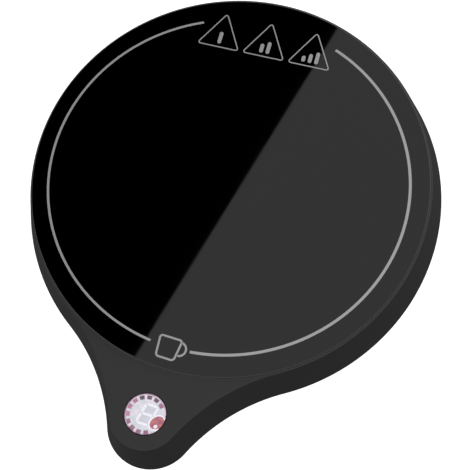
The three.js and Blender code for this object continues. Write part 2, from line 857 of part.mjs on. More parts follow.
function thermistorHolder() {
  const inner = thermistorRadius + thermistorFit;
  return revolve([
    [inner, shieldUnderZ - holderHeight],
    [holderRadius, shieldUnderZ - holderHeight],
    [holderRadius, shieldUnderZ],
    [inner, shieldUnderZ],
    [inner, shieldUnderZ - holderHeight],
  ], smallSteps, sensorPlace.x, sensorPlace.y);
}

// Thermal cut-out: a small can lying along X under the shield, with a lead at each end
function thermalFuse() {
  const can = new THREE.CylinderGeometry(cutoutRadius, cutoutRadius, cutoutLength, smallSteps);
  can.rotateZ(Math.PI / 2);
  can.translate(cutoutX, cutoutY, cutoutZ);
  const leads = [-1, 1].map((side) => wire([
    [cutoutX + (side * cutoutLength) / 2 - side * cutoutRadius, cutoutY, cutoutZ],
    [cutoutX + (side * cutoutLength) / 2 + side * leadBend, cutoutY, cutoutZ],
    [cutoutX + (side * cutoutLength) / 2 + side * leadBend, cutoutY - 2 * leadBend, cutoutZ],
    [cutoutX + side * leadBend, boardRearY + leadBend, leadBoardZ],
    [cutoutX + side * leadBend, boardRowY, leadBoardZ],
  ], cutoutLeadRadius, shortWireSteps));
  return join(solid(can), ...leads);
}

function fuseClip() {
  const inner = cutoutRadius + clipFit;
  const outer = inner + clipThickness;
  const shape = new THREE.Shape([
    ...arc(cutoutY, cutoutZ, outer, Math.PI, 2 * Math.PI, smallSteps / 2),
    new THREE.Vector2(cutoutY + outer, cutoutZ),
    new THREE.Vector2(cutoutY + outer, shieldUnderZ),
    new THREE.Vector2(cutoutY + inner, shieldUnderZ),
    ...arc(cutoutY, cutoutZ, inner, 2 * Math.PI, Math.PI, smallSteps / 2),
    new THREE.Vector2(cutoutY - inner, cutoutZ),
    new THREE.Vector2(cutoutY - inner, shieldUnderZ),
    new THREE.Vector2(cutoutY - outer, shieldUnderZ),
  ]);
  return sideways(shape, clipWidth, cutoutX);
}

function controlBoard() {
  const board = block(boardWidth, boardDepth, boardUnderZ, boardTopZ, 0, (boardFrontY + boardRearY) / 2);
  const holes = [-1, 1].map((side) => cylinder(
    smallShankRadius + screwFit, 0, plateTopZ, side * boardPostX, boardPostY, screwSteps,
  ));
  return cut(board, ...holes);
}

function onBoard([width, depth, height], x, y) {
  return block(width, depth, boardTopZ, boardTopZ + height, x, boardFrontY + y);
}

function triac() {
  const tabY = triacY + (triacSize[1] + triacTab[1]) / 2;
  return join(onBoard(triacSize, triacX, triacY), onBoard(triacTab, triacX, tabY));
}

// Glass fuse with a metal cap at each end, lying along Y on the control board
function boardFuse() {
  const half = fuseLength / 2;
  const profile = [
    [0, -half],
    [fuseCapRadius, -half],
    [fuseCapRadius, fuseCapLength - half],
    [fuseRadius, fuseCapLength - half],
    [fuseRadius, half - fuseCapLength],
    [fuseCapRadius, half - fuseCapLength],
    [fuseCapRadius, half],
    [0, half],
  ].map(([r, y]) => new THREE.Vector2(r, y));
  const geometry = new THREE.LatheGeometry(profile, screwSteps);
  geometry.translate(fuseX, boardFrontY + fuseY, boardTopZ + fuseCapRadius);
  return solid(geometry);
}

function ribbonConnector() {
  const [width, depth, height] = connectorSize;
  const shell = onBoard(connectorSize, 0, depth / 2);
  const mouth = block(
    width - 2 * connectorWall, connectorDepth, boardTopZ + connectorWall, boardTopZ + height - connectorWall,
    0, boardFrontY,
  );
  return shell.subtract(mouth);
}

// Grommet: rubber, with a slot-shaped bore, gripped in the wall between two flanges
function cordGrommet() {
  const halfWidth = boreHalfWidth + grommetNeck;
  const halfHeight = boreHalfHeight + grommetNeck;
  const neck = slot(halfWidth, halfHeight, inletInnerY - innerFlangeThickness, inletOuterY);
  const inner = slot(
    halfWidth + innerFlange, halfHeight + innerFlange, inletInnerY - innerFlangeThickness, inletInnerY,
  );
  const outer = slot(
    halfWidth + outerFlange, halfHeight + outerFlange, inletOuterY, inletOuterY + outerFlangeThickness,
  );
  const bore = slot(boreHalfWidth, boreHalfHeight, 0, bodyRadius + wallFlare + overrun);
  return join(neck, inner, outer).subtract(bore);
}

function cordClamp() {
  const bar = block(clampLength, clampDepth, clampUnderZ, clampUnderZ + clampThickness, 0, clampY);
  const holes = [-1, 1].map((side) => cylinder(
    smallShankRadius + screwFit, 0, plateTopZ, side * clampPostX, clampY, screwSteps,
  ));
  return cut(bar, ...holes);
}

function terminalBlock() {
  const top = trayTopZ + terminalHeight;
  const backY = terminalY + terminalDepth / 2;
  const body = block(terminalWidth, terminalDepth, trayTopZ, top, 0, terminalY);
  const holes = [-1, 1].flatMap((side) => {
    const entry = new THREE.CylinderGeometry(
      terminalHoleRadius, terminalHoleRadius, 2 * terminalHoleDepth, smallSteps,
    );
    entry.translate((side * terminalPitch) / 2, backY, trayTopZ + terminalHeight / 2);
    const well = cylinder(
      terminalWellRadius, top - terminalWellDepth, top + overrun, (side * terminalPitch) / 2, terminalY,
    );
    return [solid(entry), well];
  });
  return cut(body, ...holes);
}

// Mains lead on one side: from the terminal block round the heater to the end of the control board
function mainsLead(side) {
  const boardEnd = boardWidth / 2;
  const lane = Array.from({ length: laneSteps + 1 }, (_, i) => {
    const [x, y] = polar(laneRadius, laneStart + ((laneEnd - laneStart) * i) / laneSteps);
    return [side * x, y, leadRestZ];
  });
  const leadY = boardFrontY + leadBoardY;
  return wire([
    [side * (terminalWidth / 2 + leadGap), terminalY, leadRestZ],
    [side * (terminalWidth / 2 + laneEntry), terminalY, leadRestZ],
    ...lane,
    [side * (boardEnd + laneExit), leadY + laneExit, (leadRestZ + leadBoardZ) / 2],
    [side * (boardEnd + laneExit / 2), leadY + laneExit / 4, leadBoardZ],
    [side * (boardEnd - leadOnBoard), leadY, leadBoardZ],
  ], leadRadius, wireSteps);
}

function heaterLead({ x, y }) {
  return wire([
    [x, y, trackUnderZ - leadGap],
    [x, y, shieldUnderZ],
    [x, y - leadBend / 2, leadBoardZ],
    [x, boardRearY + leadBend, leadBoardZ],
    [x, boardRowY, leadBoardZ],
  ], leadRadius, shortWireSteps);
}

function thermistorLead() {
  const { x, y } = sensorPlace;
  return wire([
    [x, y, sensorLowZ - leadGap],
    [x, y, sensorLowZ - sensorLeadDrop / 2],
    [x / 2, y - sensorLeadDrop, sensorLowZ - sensorLeadDrop],
    [0, boardRearY + 2 * sensorLeadDrop, sensorLowZ - sensorLeadDrop],
    [0, boardRearY + leadBend, leadBoardZ],
    [0, boardRowY, leadBoardZ],
  ], leadRadius, 2 * shortWireSteps);
}

// The assembly. The group's origin lies on the ground under the middle of the whole outline, so the plate's
// centre stands behind it.
const mugWarmer = new THREE.Group();
mugWarmer.position.y = (tongueReach + tongueRadius - bodyRadius) / 2;

function place(name, body, material, position = [0, 0, 0], turnedOver = false) {
  const mesh = new THREE.Mesh(surface(body), material);
  mesh.name = name;
  mesh.position.set(...position);
  if (turnedOver) mesh.rotation.x = Math.PI;
  mugWarmer.add(mesh);
}

place('top_plate', topPlate(), blackGlass);
place('plate_gasket', plateGasket(), silicone);
place('upper_shell', upperShell(), blackPlastic);
place('base_tray', baseTray(), blackPlastic);
footPlaces().forEach((spot, i) => place(`foot_${i + 1}`, foot(spot), rubber));

place('button_cap', buttonCap(), clearLens);
place('tact_switch', tactSwitch(), epoxy);
place('switch_plunger', switchPlunger(), whitePlastic);
place('display_board', displayBoard(), boardGreen);
place('display_module', displayModule(), whitePlastic);
place('light_guide', lightGuide(), clearLens);
ledAngles.forEach((degrees, i) => place(`led_${i + 1}`, led(degrees), ledWhite));
place('display_ribbon', displayRibbon(), wireWhite);

place('heat_spreader', heatSpreader(), aluminium);
place('heater_element', heaterElement(), foil);
place('mica_sheet', stackDisc(micaUnderZ, trackUnderZ), mica);
place('insulation_pad', stackDisc(padUnderZ, micaUnderZ), felt);
place('heat_shield', heatShield(), steel);
place('thermistor', thermistor(), epoxy);
place('thermistor_holder', thermistorHolder(), silicone);
place('thermistor_lead', thermistorLead(), wireWhite);
place('thermal_fuse', thermalFuse(), aluminium);
place('fuse_clip', fuseClip(), steel);

place('control_board', controlBoard(), boardGreen);
place('film_capacitor', onBoard(capacitorSize, capacitorX, capacitorY), epoxyRed);
place('triac', triac(), epoxy);
place('controller_chip', onBoard(chipSize, 0, chipY), epoxy);
place('board_fuse', boardFuse(), aluminium);
place('ribbon_connector', ribbonConnector(), whitePlastic);

place('cord_grommet', cordGrommet(), rubber);
place('cord_clamp', cordClamp(), greyPlastic);
place('terminal_block', terminalBlock(), whitePlastic);
place('mains_lead_1', mainsLead(-1), wireRed);
place('mains_lead_2', mainsLead(1), wireBlue);
place('heater_lead_1', heaterLead(innerEnd), wireWhite);
place('heater_lead_2', heaterLead(outerEnd), wireWhite);

const housingScrew = screw(housingHeadRadius, housingHeadHeight, housingShankRadius, housingShankLength);
bossAngles.forEach((degrees, i) => {
  const [x, y] = polar(bodyRadius - bossInset, degrees);
  place(`housing_screw_${i + 1}`, housingScrew, steel, [x, y, trayTopZ], true);
});

function smallScrew(length) {
  return screw(smallHeadRadius, smallHeadHeight, smallShankRadius, length);
}

tabAngles.forEach((degrees, i) => {
  const seat = [...polar(tabRadius, degrees), shieldUnderZ + shieldThickness];
  place(`shield_screw_${i + 1}`, smallScrew(shieldScrewLength), steel, seat);
});
[-1, 1].forEach((side, i) => {
  const board = [side * boardPostX, boardPostY, boardTopZ];
  const display = [side * displayPostX, displayPostY, displayTopZ];
  const clamp = [side * clampPostX, clampY, clampUnderZ + clampThickness];
  place(`control_screw_${i + 1}`, smallScrew(boardScrewLength), steel, board);
  place(`display_screw_${i + 1}`, smallScrew(displayScrewLength), steel, display);
  place(`clamp_screw_${i + 1}`, smallScrew(clampScrewLength), steel, clamp);
});

export default mugWarmer;
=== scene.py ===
"""Electric mug warmer: the finished surfaces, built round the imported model."""
import math

import bmesh
import bpy
from mathutils import Euler, Matrix, Vector, kdtree


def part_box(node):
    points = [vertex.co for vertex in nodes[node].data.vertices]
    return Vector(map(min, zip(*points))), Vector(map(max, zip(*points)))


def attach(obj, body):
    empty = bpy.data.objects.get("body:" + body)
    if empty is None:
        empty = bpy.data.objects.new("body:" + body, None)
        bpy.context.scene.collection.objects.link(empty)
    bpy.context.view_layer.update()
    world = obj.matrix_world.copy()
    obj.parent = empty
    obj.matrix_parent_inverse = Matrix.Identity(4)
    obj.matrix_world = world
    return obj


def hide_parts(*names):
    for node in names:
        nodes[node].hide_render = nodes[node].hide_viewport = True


bl_info = {
    "name": "Mug Warmer Surfaces",
    "version": (1, 0, 0),
    "blender": (4, 5, 0),
    "location": "3D View > Sidebar > Mug Warmer",
    "description": "Builds the plate, housing, button, feet and studio of an electric mug warmer",
    "category": "Add Mesh",
}

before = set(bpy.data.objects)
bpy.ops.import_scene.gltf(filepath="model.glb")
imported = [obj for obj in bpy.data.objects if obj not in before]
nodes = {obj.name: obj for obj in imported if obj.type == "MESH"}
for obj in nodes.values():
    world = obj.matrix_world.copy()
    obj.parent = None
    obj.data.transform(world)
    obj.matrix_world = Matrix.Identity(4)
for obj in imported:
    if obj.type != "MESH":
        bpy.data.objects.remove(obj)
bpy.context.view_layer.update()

# HAIR is the tolerance of a test for a place, and LAP is how far joined bodies reach into each other
MM = 0.001
HAIR = 0.002 * MM
LAP = 10 * HAIR
HOUSING = "housing"
BUTTON = "button"

# Places read from the model
plate_low, plate_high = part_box("top_plate")
shell_low, shell_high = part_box("upper_shell")
tray_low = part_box("base_tray")[0]
cap_low, cap_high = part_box("button_cap")
grommet_low, grommet_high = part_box("cord_grommet")
gasket_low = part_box("plate_gasket")[0]
plunger_low, plunger_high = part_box("switch_plunger")
centre_y = (plate_low.y + plate_high.y) / 2
plate_radius = (plate_high.x - plate_low.x) / 2
grommet_z = (grommet_low.z + grommet_high.z) / 2

# The button's flange is round and reaches its box at the back and on both sides
flange_radius = (cap_high.x - cap_low.x) / 2
button_y = cap_high.y - flange_radius

# Steps round the curves
BACK_STEPS = 220
FILLET_STEPS = 32
TONGUE_STEPS = 56
ROUND_STEPS = 256
BUTTON_STEPS = 96
SMALL_STEPS = 48
EDGE_STEPS = 4
ROUND_EDGE_STEPS = 5
COARSE_EDGE_STEPS = 2
CORNER_STEPS = 8
DASH_STEPS = 6

# Shading: edges sharper than these angles stay sharp, and large faces stay flat
SMOOTH_ANGLE = 35
MOULDED_SMOOTH_ANGLE = 28
FLATNESS = 60


# Sizes and colours that a user would change

def length(name, description, size):
    return bpy.props.FloatProperty(
        name=name, description=description, default=size * MM, unit="LENGTH", precision=5)


def colour(name, description, value):
    return bpy.props.FloatVectorProperty(
        name=name, description=description, default=value, size=3, subtype="COLOR", min=0, max=1)


class WarmerSizes(bpy.types.PropertyGroup):
    """Sizes of the shown pieces"""
    body_radius: length("Body Radius", "Radius of the round body at its upper edge", 52)
    tongue_radius: length("Tongue Radius", "Radius of the tongue's round end at its upper edge", 9)
    tongue_reach: length("Tongue Reach", "From the plate's centre to the centre of the tongue's end", 63.7)
    fillet_radius: length("Fillet Radius", "Radius of the hollow between the body and the tongue", 52.5)
    wall_flare: length("Wall Flare", "How far the foot of the wall stands outside its upper edge", 2.5)
    wall_thickness: length("Wall Thickness", "Thickness of the moulded wall", 1.8)
    edge_round: length("Edge Round", "Radius of the housing's upper edge", 0.2)
    foot_round: length("Wall Foot Round", "Radius of the wall's lower edge", 0.25)
    tongue_skin: length("Tongue Skin", "Thickness of the tongue's top", 1.5)
    plate_gap: length("Plate Gap", "Gap round the plate in its recess", 0.015)
    plate_bevel: length("Plate Bevel", "Bevel round the plate's upper edge", 0.3)
    ledge_width: length("Ledge Width", "Width of the ledge that carries the plate", 3)
    ledge_thickness: length("Ledge Thickness", "Thickness of that ledge", 1.3)
    boss_radius: length("Boss Radius", "Radius of the screw bosses inside the housing", 3)
    boss_rib: length("Boss Rib", "Thickness of the rib between a boss and the wall", 1.2)
    screw_hole: length("Screw Hole", "Radius of the holes for the housing screws", 1.48)
    button_gap: length("Button Gap", "Gap between the button and the housing", 0.2)
    lens_thickness: length("Lens Thickness", "Thickness of the button's clear lens", 0.5)
    lens_bevel: length("Lens Bevel", "Bevel round the lens", 0.22)
    lens_radius: length("Lens Radius", "Radius of the button above its flange", 5.2)
    film_thickness: length("Film Thickness", "Thickness of the lit film and of each layer on it", 0.02)
    ring_half_width: length("Ring Half Width", "Half the printed ring's width across the plate", 46.82)
    ring_half_depth: length("Ring Half Depth", "Half the printed ring's depth along the plate", 45.66)
    left_ring_width: length("Left Ring Width", "Width of the printed ring's left line", 0.62)
    right_ring_width: length("Right Ring Width", "Width of the printed ring's right line", 0.74)
    mark_width: length("Mark Width", "Width of the lines of the printed triangles", 0.3)
    mug_line_width: length("Mug Line Width", "Width of the lines of the printed mug", 0.52)
    ink_height: length("Ink Height", "Thickness of the printed enamel", 0.02)


class WarmerColours(bpy.types.PropertyGroup):
    """Colours of the shown pieces"""
    glass: colour("Glass", "Black glass of the hot plate", (0.0001, 0.0001, 0.0001))
    # Ground edge: partly the plate's ground glass, partly a painted highlight along its bevel
    ground_edge_and_highlight: colour("Ground Edge", "Ground edge of the hot plate", (0.078, 0.078, 0.078))
    housing: colour("Housing", "Matt black plastic", (0.0245, 0.0245, 0.0245))
    # Rim: a painted highlight on the housing's rim next to the plate, lifting the shade that the plate
    # casts on it
    rim: colour("Rim", "Rubbed rim of the housing next to the plate", (0.047, 0.047, 0.047))
    ink: colour("Ink", "Grey enamel of the printed marks", (0.34, 0.34, 0.34))
    film: colour("Film", "Pinkish patches of the button's lit ground", (0.78, 0.69, 0.77))
    film_green: colour("Film Green", "Greenish patches of the button's lit ground", (0.56, 0.62, 0.64))
    film_rim: colour("Film Rim", "Pink rim of the button's lit ground", (0.5, 0.34, 0.43))
    dash_plum: colour("Dash Plum", "Upper dashes round the button", (0.105, 0.048, 0.09))
    dash_pink: colour("Dash Pink", "Left dashes round the button", (0.37, 0.14, 0.24))
    dash_mauve: colour("Dash Mauve", "Lower dashes round the button", (0.23, 0.1, 0.165))
    spot: colour("Spot", "Crimson of the button's signal spot", (0.34, 0.085, 0.16))
    spot_orange: colour("Spot Orange", "Orange patches of that spot", (0.56, 0.17, 0.15))
    digit: colour("Digit", "Lit digit", (0.8, 0.8, 0.86))
    digit_ground: colour("Digit Ground", "Ground inside the digit's loops", (0.55, 0.55, 0.615))


# Modelling helpers

def sizes():
    return bpy.context.scene.warmer_sizes


def colours():
    return bpy.context.scene.warmer_colours


def activate(obj):
    bpy.ops.object.select_all(action="DESELECT")
    obj.select_set(True)
    bpy.context.view_layer.objects.active = obj


def settle(obj, name):
    """Names a new piece and puts its place, turn and scale into its mesh"""
    activate(obj)
    bpy.ops.object.transform_apply(location=True, rotation=True, scale=True)
    obj.name = name
    obj.data.name = name
    return obj


def edit(obj, kind, test=lambda item: True):
    """Opens a piece in edit mode, with those of its vertices, edges or faces selected that pass a test"""
    activate(obj)
    bpy.ops.object.mode_set(mode="EDIT")
    bpy.ops.mesh.select_mode(type=kind)
    bpy.ops.mesh.select_all(action="DESELECT")
    mesh = bmesh.from_edit_mesh(obj.data)
    for item in {"VERT": mesh.verts, "EDGE": mesh.edges, "FACE": mesh.faces}[kind]:
        if test(item):
            item.select_set(True)
    mesh.select_flush_mode()
    bmesh.update_edit_mesh(obj.data)


def leave():
    bpy.ops.object.mode_set(mode="OBJECT")


def level(z):
    """Test for an edge or a face that lies flat at a height"""
    return lambda item: all(abs(vertex.co.z - z) < HAIR for vertex in item.verts)


def hole_edge(z, radius, centre):
    """Test for an edge of a round hole at a height"""
    return lambda edge: all(
        abs(vertex.co.z - z) < HAIR and abs(math.dist(vertex.co[:2], centre) - radius) < 10 * HAIR
        for vertex in edge.verts)


def face_out(obj):
    """Merges doubled vertices and turns every face outwards"""
    edit(obj, "FACE")
    bpy.ops.mesh.remove_doubles(threshold=HAIR / 4)
    bpy.ops.mesh.normals_make_consistent(inside=False)
    leave()
    return obj


def apply_modifier(obj, kind, **settings):
    activate(obj)
    modifier = obj.modifiers.new(kind.title(), kind)
    for key, value in settings.items():
        setattr(modifier, key, value)
    bpy.ops.object.modifier_apply(modifier=modifier.name)


def combine(obj, other, operation):
    """Cuts another body out of a piece or joins it on, and removes that body"""
    apply_modifier(obj, "BOOLEAN", operation=operation, solver="EXACT", object=other)
    bpy.data.objects.remove(other)


def cut(obj, *cutters):
    for cutter in cutters:
        combine(obj, cutter, "DIFFERENCE")


def join_on(obj, *bodies):
    for body in bodies:
        combine(obj, body, "UNION")


def merge(objs):
    """Puts separate bodies into one piece without cutting them"""
    bpy.ops.object.select_all(action="DESELECT")
    for obj in objs:
        obj.select_set(True)
    bpy.context.view_layer.objects.active = objs[0]
    bpy.ops.object.join()
    return settle(bpy.context.object, "merged")


def soften(obj, degrees=SMOOTH_ANGLE):
    """Smooth shading that leaves the large flat faces flat"""
    activate(obj)
    bpy.ops.object.shade_smooth_by_angle(angle=math.radians(degrees), keep_sharp_edges=True)
    apply_modifier(obj, "WEIGHTED_NORMAL", keep_sharp=True, weight=FLATNESS)


def cylinder(radius, low, high, x=0.0, y=0.0, vertices=SMALL_STEPS):
    bpy.ops.mesh.primitive_cylinder_add(
        vertices=vertices, radius=radius, depth=high - low, location=(x, y, (low + high) / 2))
    return settle(bpy.context.object, "cylinder")


def plate_disc(radius, low, high):
    """A round body about the plate's axis"""
    return cylinder(radius, low, high, 0, centre_y, ROUND_STEPS)


def button_disc(radius, low, high):
    """A round body about the button's axis"""
    return cylinder(radius, low, high, 0, button_y, BUTTON_STEPS)


def block(low, high):
    """A box between two corners"""
    low, high = Vector(low), Vector(high)
    bpy.ops.mesh.primitive_cube_add(size=1, location=(low + high) / 2)
    bpy.context.object.scale = high - low
    return settle(bpy.context.object, "block")


def turned(obj, angle, centre):
    """Turns a body about an upright line through a place"""
    activate(obj)
    obj.rotation_euler.z = angle
    obj.location = Vector(centre) - Euler((0, 0, angle)).to_matrix() @ Vector(centre)
    return settle(obj, obj.name)


def bevel(obj, test, width, segments=EDGE_STEPS):
    edit(obj, "EDGE", test)
    bpy.ops.mesh.bevel(offset=width, segments=segments, affect="EDGES", clamp_overlap=True)
    leave()


def round_node(name):
    """Centre, radius, lower and upper end of a node that is round seen from above"""
    low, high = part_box(name)
    return (low + high) / 2, (high.x - low.x) / 2, low.z, high.z


def finished(obj, name, body, material, slot_name, *stands_for):
    """Gives a piece its name, body and finish, and hides the nodes that it stands for. The slot name is not
    used.
    """
    settle(obj, name)
    obj.data.materials.clear()
    obj.data.materials.append(material)
    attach(obj, body)
    if stands_for:
        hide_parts(*stands_for)
    return obj


# Outline of the housing seen from above: two circles with a hollow fillet on each side

def arc(x, y, radius, start, end, steps):
    turns = [start + (end - start) * i / steps for i in range(steps)]
    return [(x + radius * math.cos(turn), y + radius * math.sin(turn)) for turn in turns]


def body_outline(offset):
    """Points of the outline, moved outwards by an offset. The right hollow's centre is at x and y."""
    s = sizes()
    to_body, to_tongue = s.body_radius + s.fillet_radius, s.tongue_radius + s.fillet_radius
    y = -(to_body ** 2 - to_tongue ** 2 + s.tongue_reach ** 2) / (2 * s.tongue_reach)
    x = math.sqrt(to_body ** 2 - y ** 2)
    body_turn = math.atan2(y, x)
    tongue_turn = math.atan2(y + s.tongue_reach, x)
    points = arc(0, 0, s.body_radius + offset, body_turn, math.pi - body_turn, BACK_STEPS)
    points += arc(-x, y, s.fillet_radius - offset, -body_turn, -tongue_turn, FILLET_STEPS)
    points += arc(
        0, -s.tongue_reach, s.tongue_radius + offset, math.pi - tongue_turn, 2 * math.pi + tongue_turn,
        TONGUE_STEPS)
    points += arc(x, y, s.fillet_radius - offset, math.pi + tongue_turn, math.pi + body_turn, FILLET_STEPS)
    return [(px, py + centre_y) for px, py in points]


def flare_at(z):
    return sizes().wall_flare * (shell_high.z - z) / (shell_high.z - shell_low.z)


def raise_outlines(levels):
    """A closed body through outlines given as (height, points), extruded level by level"""
    bpy.ops.mesh.primitive_circle_add(vertices=len(levels[0][1]), radius=1, fill_type="NGON")
    obj = bpy.context.object
    for vertex, (x, y) in zip(obj.data.vertices, levels[0][1]):
        vertex.co = (x, y, levels[0][0])
    for (low, before), (high, after) in zip(levels, levels[1:]):
        places = kdtree.KDTree(len(before))
        for i, (x, y) in enumerate(before):
            places.insert((x, y, 0), i)
        places.balance()
        edit(obj, "FACE", level(low))
        bpy.ops.mesh.extrude_region_move(TRANSFORM_OT_translate={"value": (0, 0, high - low)})
        mesh = bmesh.from_edit_mesh(obj.data)
        for vertex in mesh.verts:
            if vertex.select:
                # A new vertex goes from its old place in the outline to the same one in the next
                index = places.find((vertex.co.x, vertex.co.y, 0))[1]
                vertex.co = (*after[index], high)
        bmesh.update_edit_mesh(obj.data)
        leave()
    return settle(face_out(obj), "outlines")


def wall_at(z, inset=0.0):
    """One level of a loft, where the flared wall is at a height, moved inwards by an inset"""
    return z, flare_at(z) - inset


def loft(levels):
    """A body of the housing's outline through levels given as (height, offset)"""
    return raise_outlines([(z, body_outline(offset)) for z, offset in levels])


def slot_body(half_width, half_height, near, far, height, bevelled=0.0):
    """A flat-sided body with round ends that lies along Y, its far edge bevelled if asked"""
    flat = half_width - half_height
    points = arc(flat, 0, half_height, -math.pi / 2, math.pi / 2, SMALL_STEPS // 2)
    points += arc(-flat, 0, half_height, math.pi / 2, 1.5 * math.pi, SMALL_STEPS // 2)
    obj = raise_outlines([(near, points), (far, points)])
    if bevelled:
        bevel(obj, level(far), bevelled)
    for vertex in obj.data.vertices:
        x, across, along = vertex.co
        vertex.co = (x, along, across + height)
    return face_out(obj)


# Material helpers. Patterns are in metres on the piece itself.

# Width of a cloud of colour, in grains
CLOUD_GRAINS = 24


def new_material(name, **sockets):
    """A material, its shader with some sockets set, and the piece's own coordinates"""
    material = bpy.data.materials.new(name)
    material.use_nodes = True
    tree = material.node_tree
    shader = tree.nodes["Principled BSDF"]
    for key, value in sockets.items():
        socket = shader.inputs[key.replace("_", " ").title().replace("Ior", "IOR")]
        socket.default_value = (*value, 1) if hasattr(value, "__len__") else value
    return material, shader, tree.nodes.new("ShaderNodeTexCoord").outputs["Object"]


def feed(node, inputs):
    """Fills inputs of a node: another node's output is linked, and a plain value is set"""
    for key, value in inputs.items():
        if isinstance(value, bpy.types.NodeSocket):
            node.id_data.links.new(value, node.inputs[key])
        else:
            node.inputs[key].default_value = value


def add_node(kind, inputs, output=0, **settings):
    """Adds a node to the tree that its first input comes from, and gives back one of its outputs"""
    tree = next(iter(inputs.values())).id_data
    node = tree.nodes.new(f"ShaderNode{kind}")
    for key, value in settings.items():
        setattr(node, key, value)
    feed(node, inputs)
    return node.outputs[output]


def stretched(place, scale, turn=0.0):
    """Coordinates drawn out along some axes, and turned about Z"""
    return add_node("Mapping", {"Vector": place, "Scale": scale, "Rotation": (0, 0, turn)})


def noise(place, grain, detail=3.0):
    return add_node("TexNoise", {"Vector": place, "Scale": 1 / grain, "Detail": detail}, "Fac")


def cells(place, grain):
    return add_node("TexVoronoi", {"Vector": place, "Scale": 1 / grain}, "Distance")


def bands(place, pitch, direction):
    """Slightly wavy bands across an axis"""
    return add_node(
        "TexWave", {"Vector": place, "Scale": math.pi / (10 * pitch), "Distortion": 1.5}, "Fac",
        wave_type="BANDS", bands_direction=direction)


def spread(value, low, high):
    """Maps a value from 0 to 1 onto a range"""
    return add_node("MapRange", {"Value": value, "To Min": low, "To Max": high}, "Result")


def sharpen(value, low, high):
    """Widens the part of a value between two limits to the whole range"""
    return add_node("MapRange", {"Value": value, "From Min": low, "From Max": high}, "Result")


def tint(value, first, second):
    """A colour between two, by a value from 0 to 1. The first may come from another node."""
    first = first if isinstance(first, bpy.types.NodeSocket) else (*first, 1)
    return add_node("Mix", {0: value, 6: first, 7: (*second, 1)}, 2, data_type="RGBA")


def reach_from(place, centre):
    """Distance from an upright line through a place"""
    flat = stretched(place, (1, 1, 0))
    return add_node("VectorMath", {0: flat, 1: (*centre, 0)}, "Value", operation="DISTANCE")


def larger(first, second):
    return add_node("Math", {0: first, 1: second}, operation="MAXIMUM")


def relief(shader, height, depth, strength=1.0):
    """Raises and sinks the surface by a pattern"""
    bump = add_node("Bump", {"Height": height, "Distance": depth, "Strength": strength}, "Normal")
    feed(shader, {"Normal": bump})


def paint(shader, pattern, low, high, roughness, depth, strength=1.0):
    """Lets one pattern set the colour, the roughness and the relief of a finish"""
    feed(shader, {"Base Color": tint(pattern, low, high), "Roughness": spread(pattern, *roughness)})
    relief(shader, pattern, depth, strength)


def scaled(value, factor):
    return tuple(channel * factor for channel in value)


def grained(name, base, grain, depth, roughness, contrast=0.12, **sockets):
    """A moulded or cast finish: fine grain in relief, cloudier variation in colour and roughness"""
    material, shader, place = new_material(name, **sockets)
    fine = noise(place, grain, 2)
    broad = noise(place, grain * CLOUD_GRAINS, 4)
    shade = tint(broad, scaled(base, 1 - contrast), scaled(base, 1 + contrast))
    feed(shader, {"Base Color": shade, "Roughness": spread(broad, *roughness)})
    relief(shader, fine, depth)
    return material


def brushed(name, base, stretch, roughness):
    """Rolled or brushed metal: streaks along one axis"""
    material, shader, place = new_material(name, metallic=1.0)
    streaks = noise(stretched(place, stretch), 0.4 * MM, 5)
    paint(shader, streaks, scaled(base, 0.8), base, roughness, 0.01 * MM, 0.4)
    return material


# Finishes of the pieces that show. Places are in millimetres from the plate's centre.

POLISH_PLACE = (-0.03, -0.24)
POLISH_BLEND = 0.02
RIM_BLEND = 0.2


def black_glass():
    """Polished black glass ceramic with a ground edge round it that is wider at the back. The edge's paler
    colour is partly the ground glass and partly a painted highlight along the bevel.
    """
    c = colours()
    material, shader, place = new_material("black_glass", ior=1.5)
    haze = noise(place, 9 * MM, 3)
    edge, blend = plate_radius - sizes().plate_bevel / 2, POLISH_BLEND * MM
    ground = larger(*[
        sharpen(reach_from(place, on_plate(*middle)), edge - blend, edge + blend)
        for middle in ((0, 0), POLISH_PLACE)])
    polish = tint(haze, scaled(c.glass, 0.6), scaled(c.glass, 1.4))
    smooth = spread(haze, 0.012, 0.03)
    # The ground edge is partly real ground glass and partly a painted highlight along the bevel
    feed(shader, {
        "Base Color": tint(ground, polish, c.ground_edge_and_highlight),
        "Roughness": add_node("Mix", {"Factor": ground, "A": smooth, "B": 0.5}, "Result"),
        "Specular IOR Level": spread(ground, 0.5, 0.12)})
    return material


def enamel():
    """Grey enamel screen-printed and fired onto the glass, almost as glossy as it"""
    material, shader, place = new_material("enamel", specular_ior_level=0.9, ior=1.7)
    base = colours().ink
    screen = noise(place, 0.18 * MM, 2)
    paint(shader, screen, scaled(base, 0.86), scaled(base, 1.14), (0.12, 0.22), 0.001 * MM)
    return material


def housing_plastic():
    """Moulded black plastic, its narrow rim next to the plate painted a little paler: a painted highlight
    that lifts the shade the plate casts there
    """
    material = grained(
        "housing_plastic", colours().housing, 0.16 * MM, 0.012 * MM, (0.5, 0.6), 0.06,
        specular_ior_level=0.5)
    made = material.node_tree.nodes
    shader, place = made["Principled BSDF"], made["Texture Coordinate"].outputs["Object"]
    moulded = shader.inputs["Base Color"].links[0].from_socket
    outer = (plate_radius + sizes().body_radius) / 2
    # Painted highlight: the rim next to the plate is made paler to lift the plate's shade on it
    painted_rim_highlight = sharpen(reach_from(place, on_plate(0, 0)), outer + RIM_BLEND * MM, outer)
    feed(shader, {"Base Color": tint(painted_rim_highlight, moulded, colours().rim)})
    return material


def tray_plastic():
    return grained(
        "tray_plastic", scaled(colours().housing, 0.85), 0.3 * MM, 0.03 * MM, (0.55, 0.7), 0.1,
        specular_ior_level=0.35)


def rubber(name, base=(0.012, 0.012, 0.012)):
    return grained(name, base, 0.12 * MM, 0.015 * MM, (0.72, 0.9), 0.2, specular_ior_level=0.3)


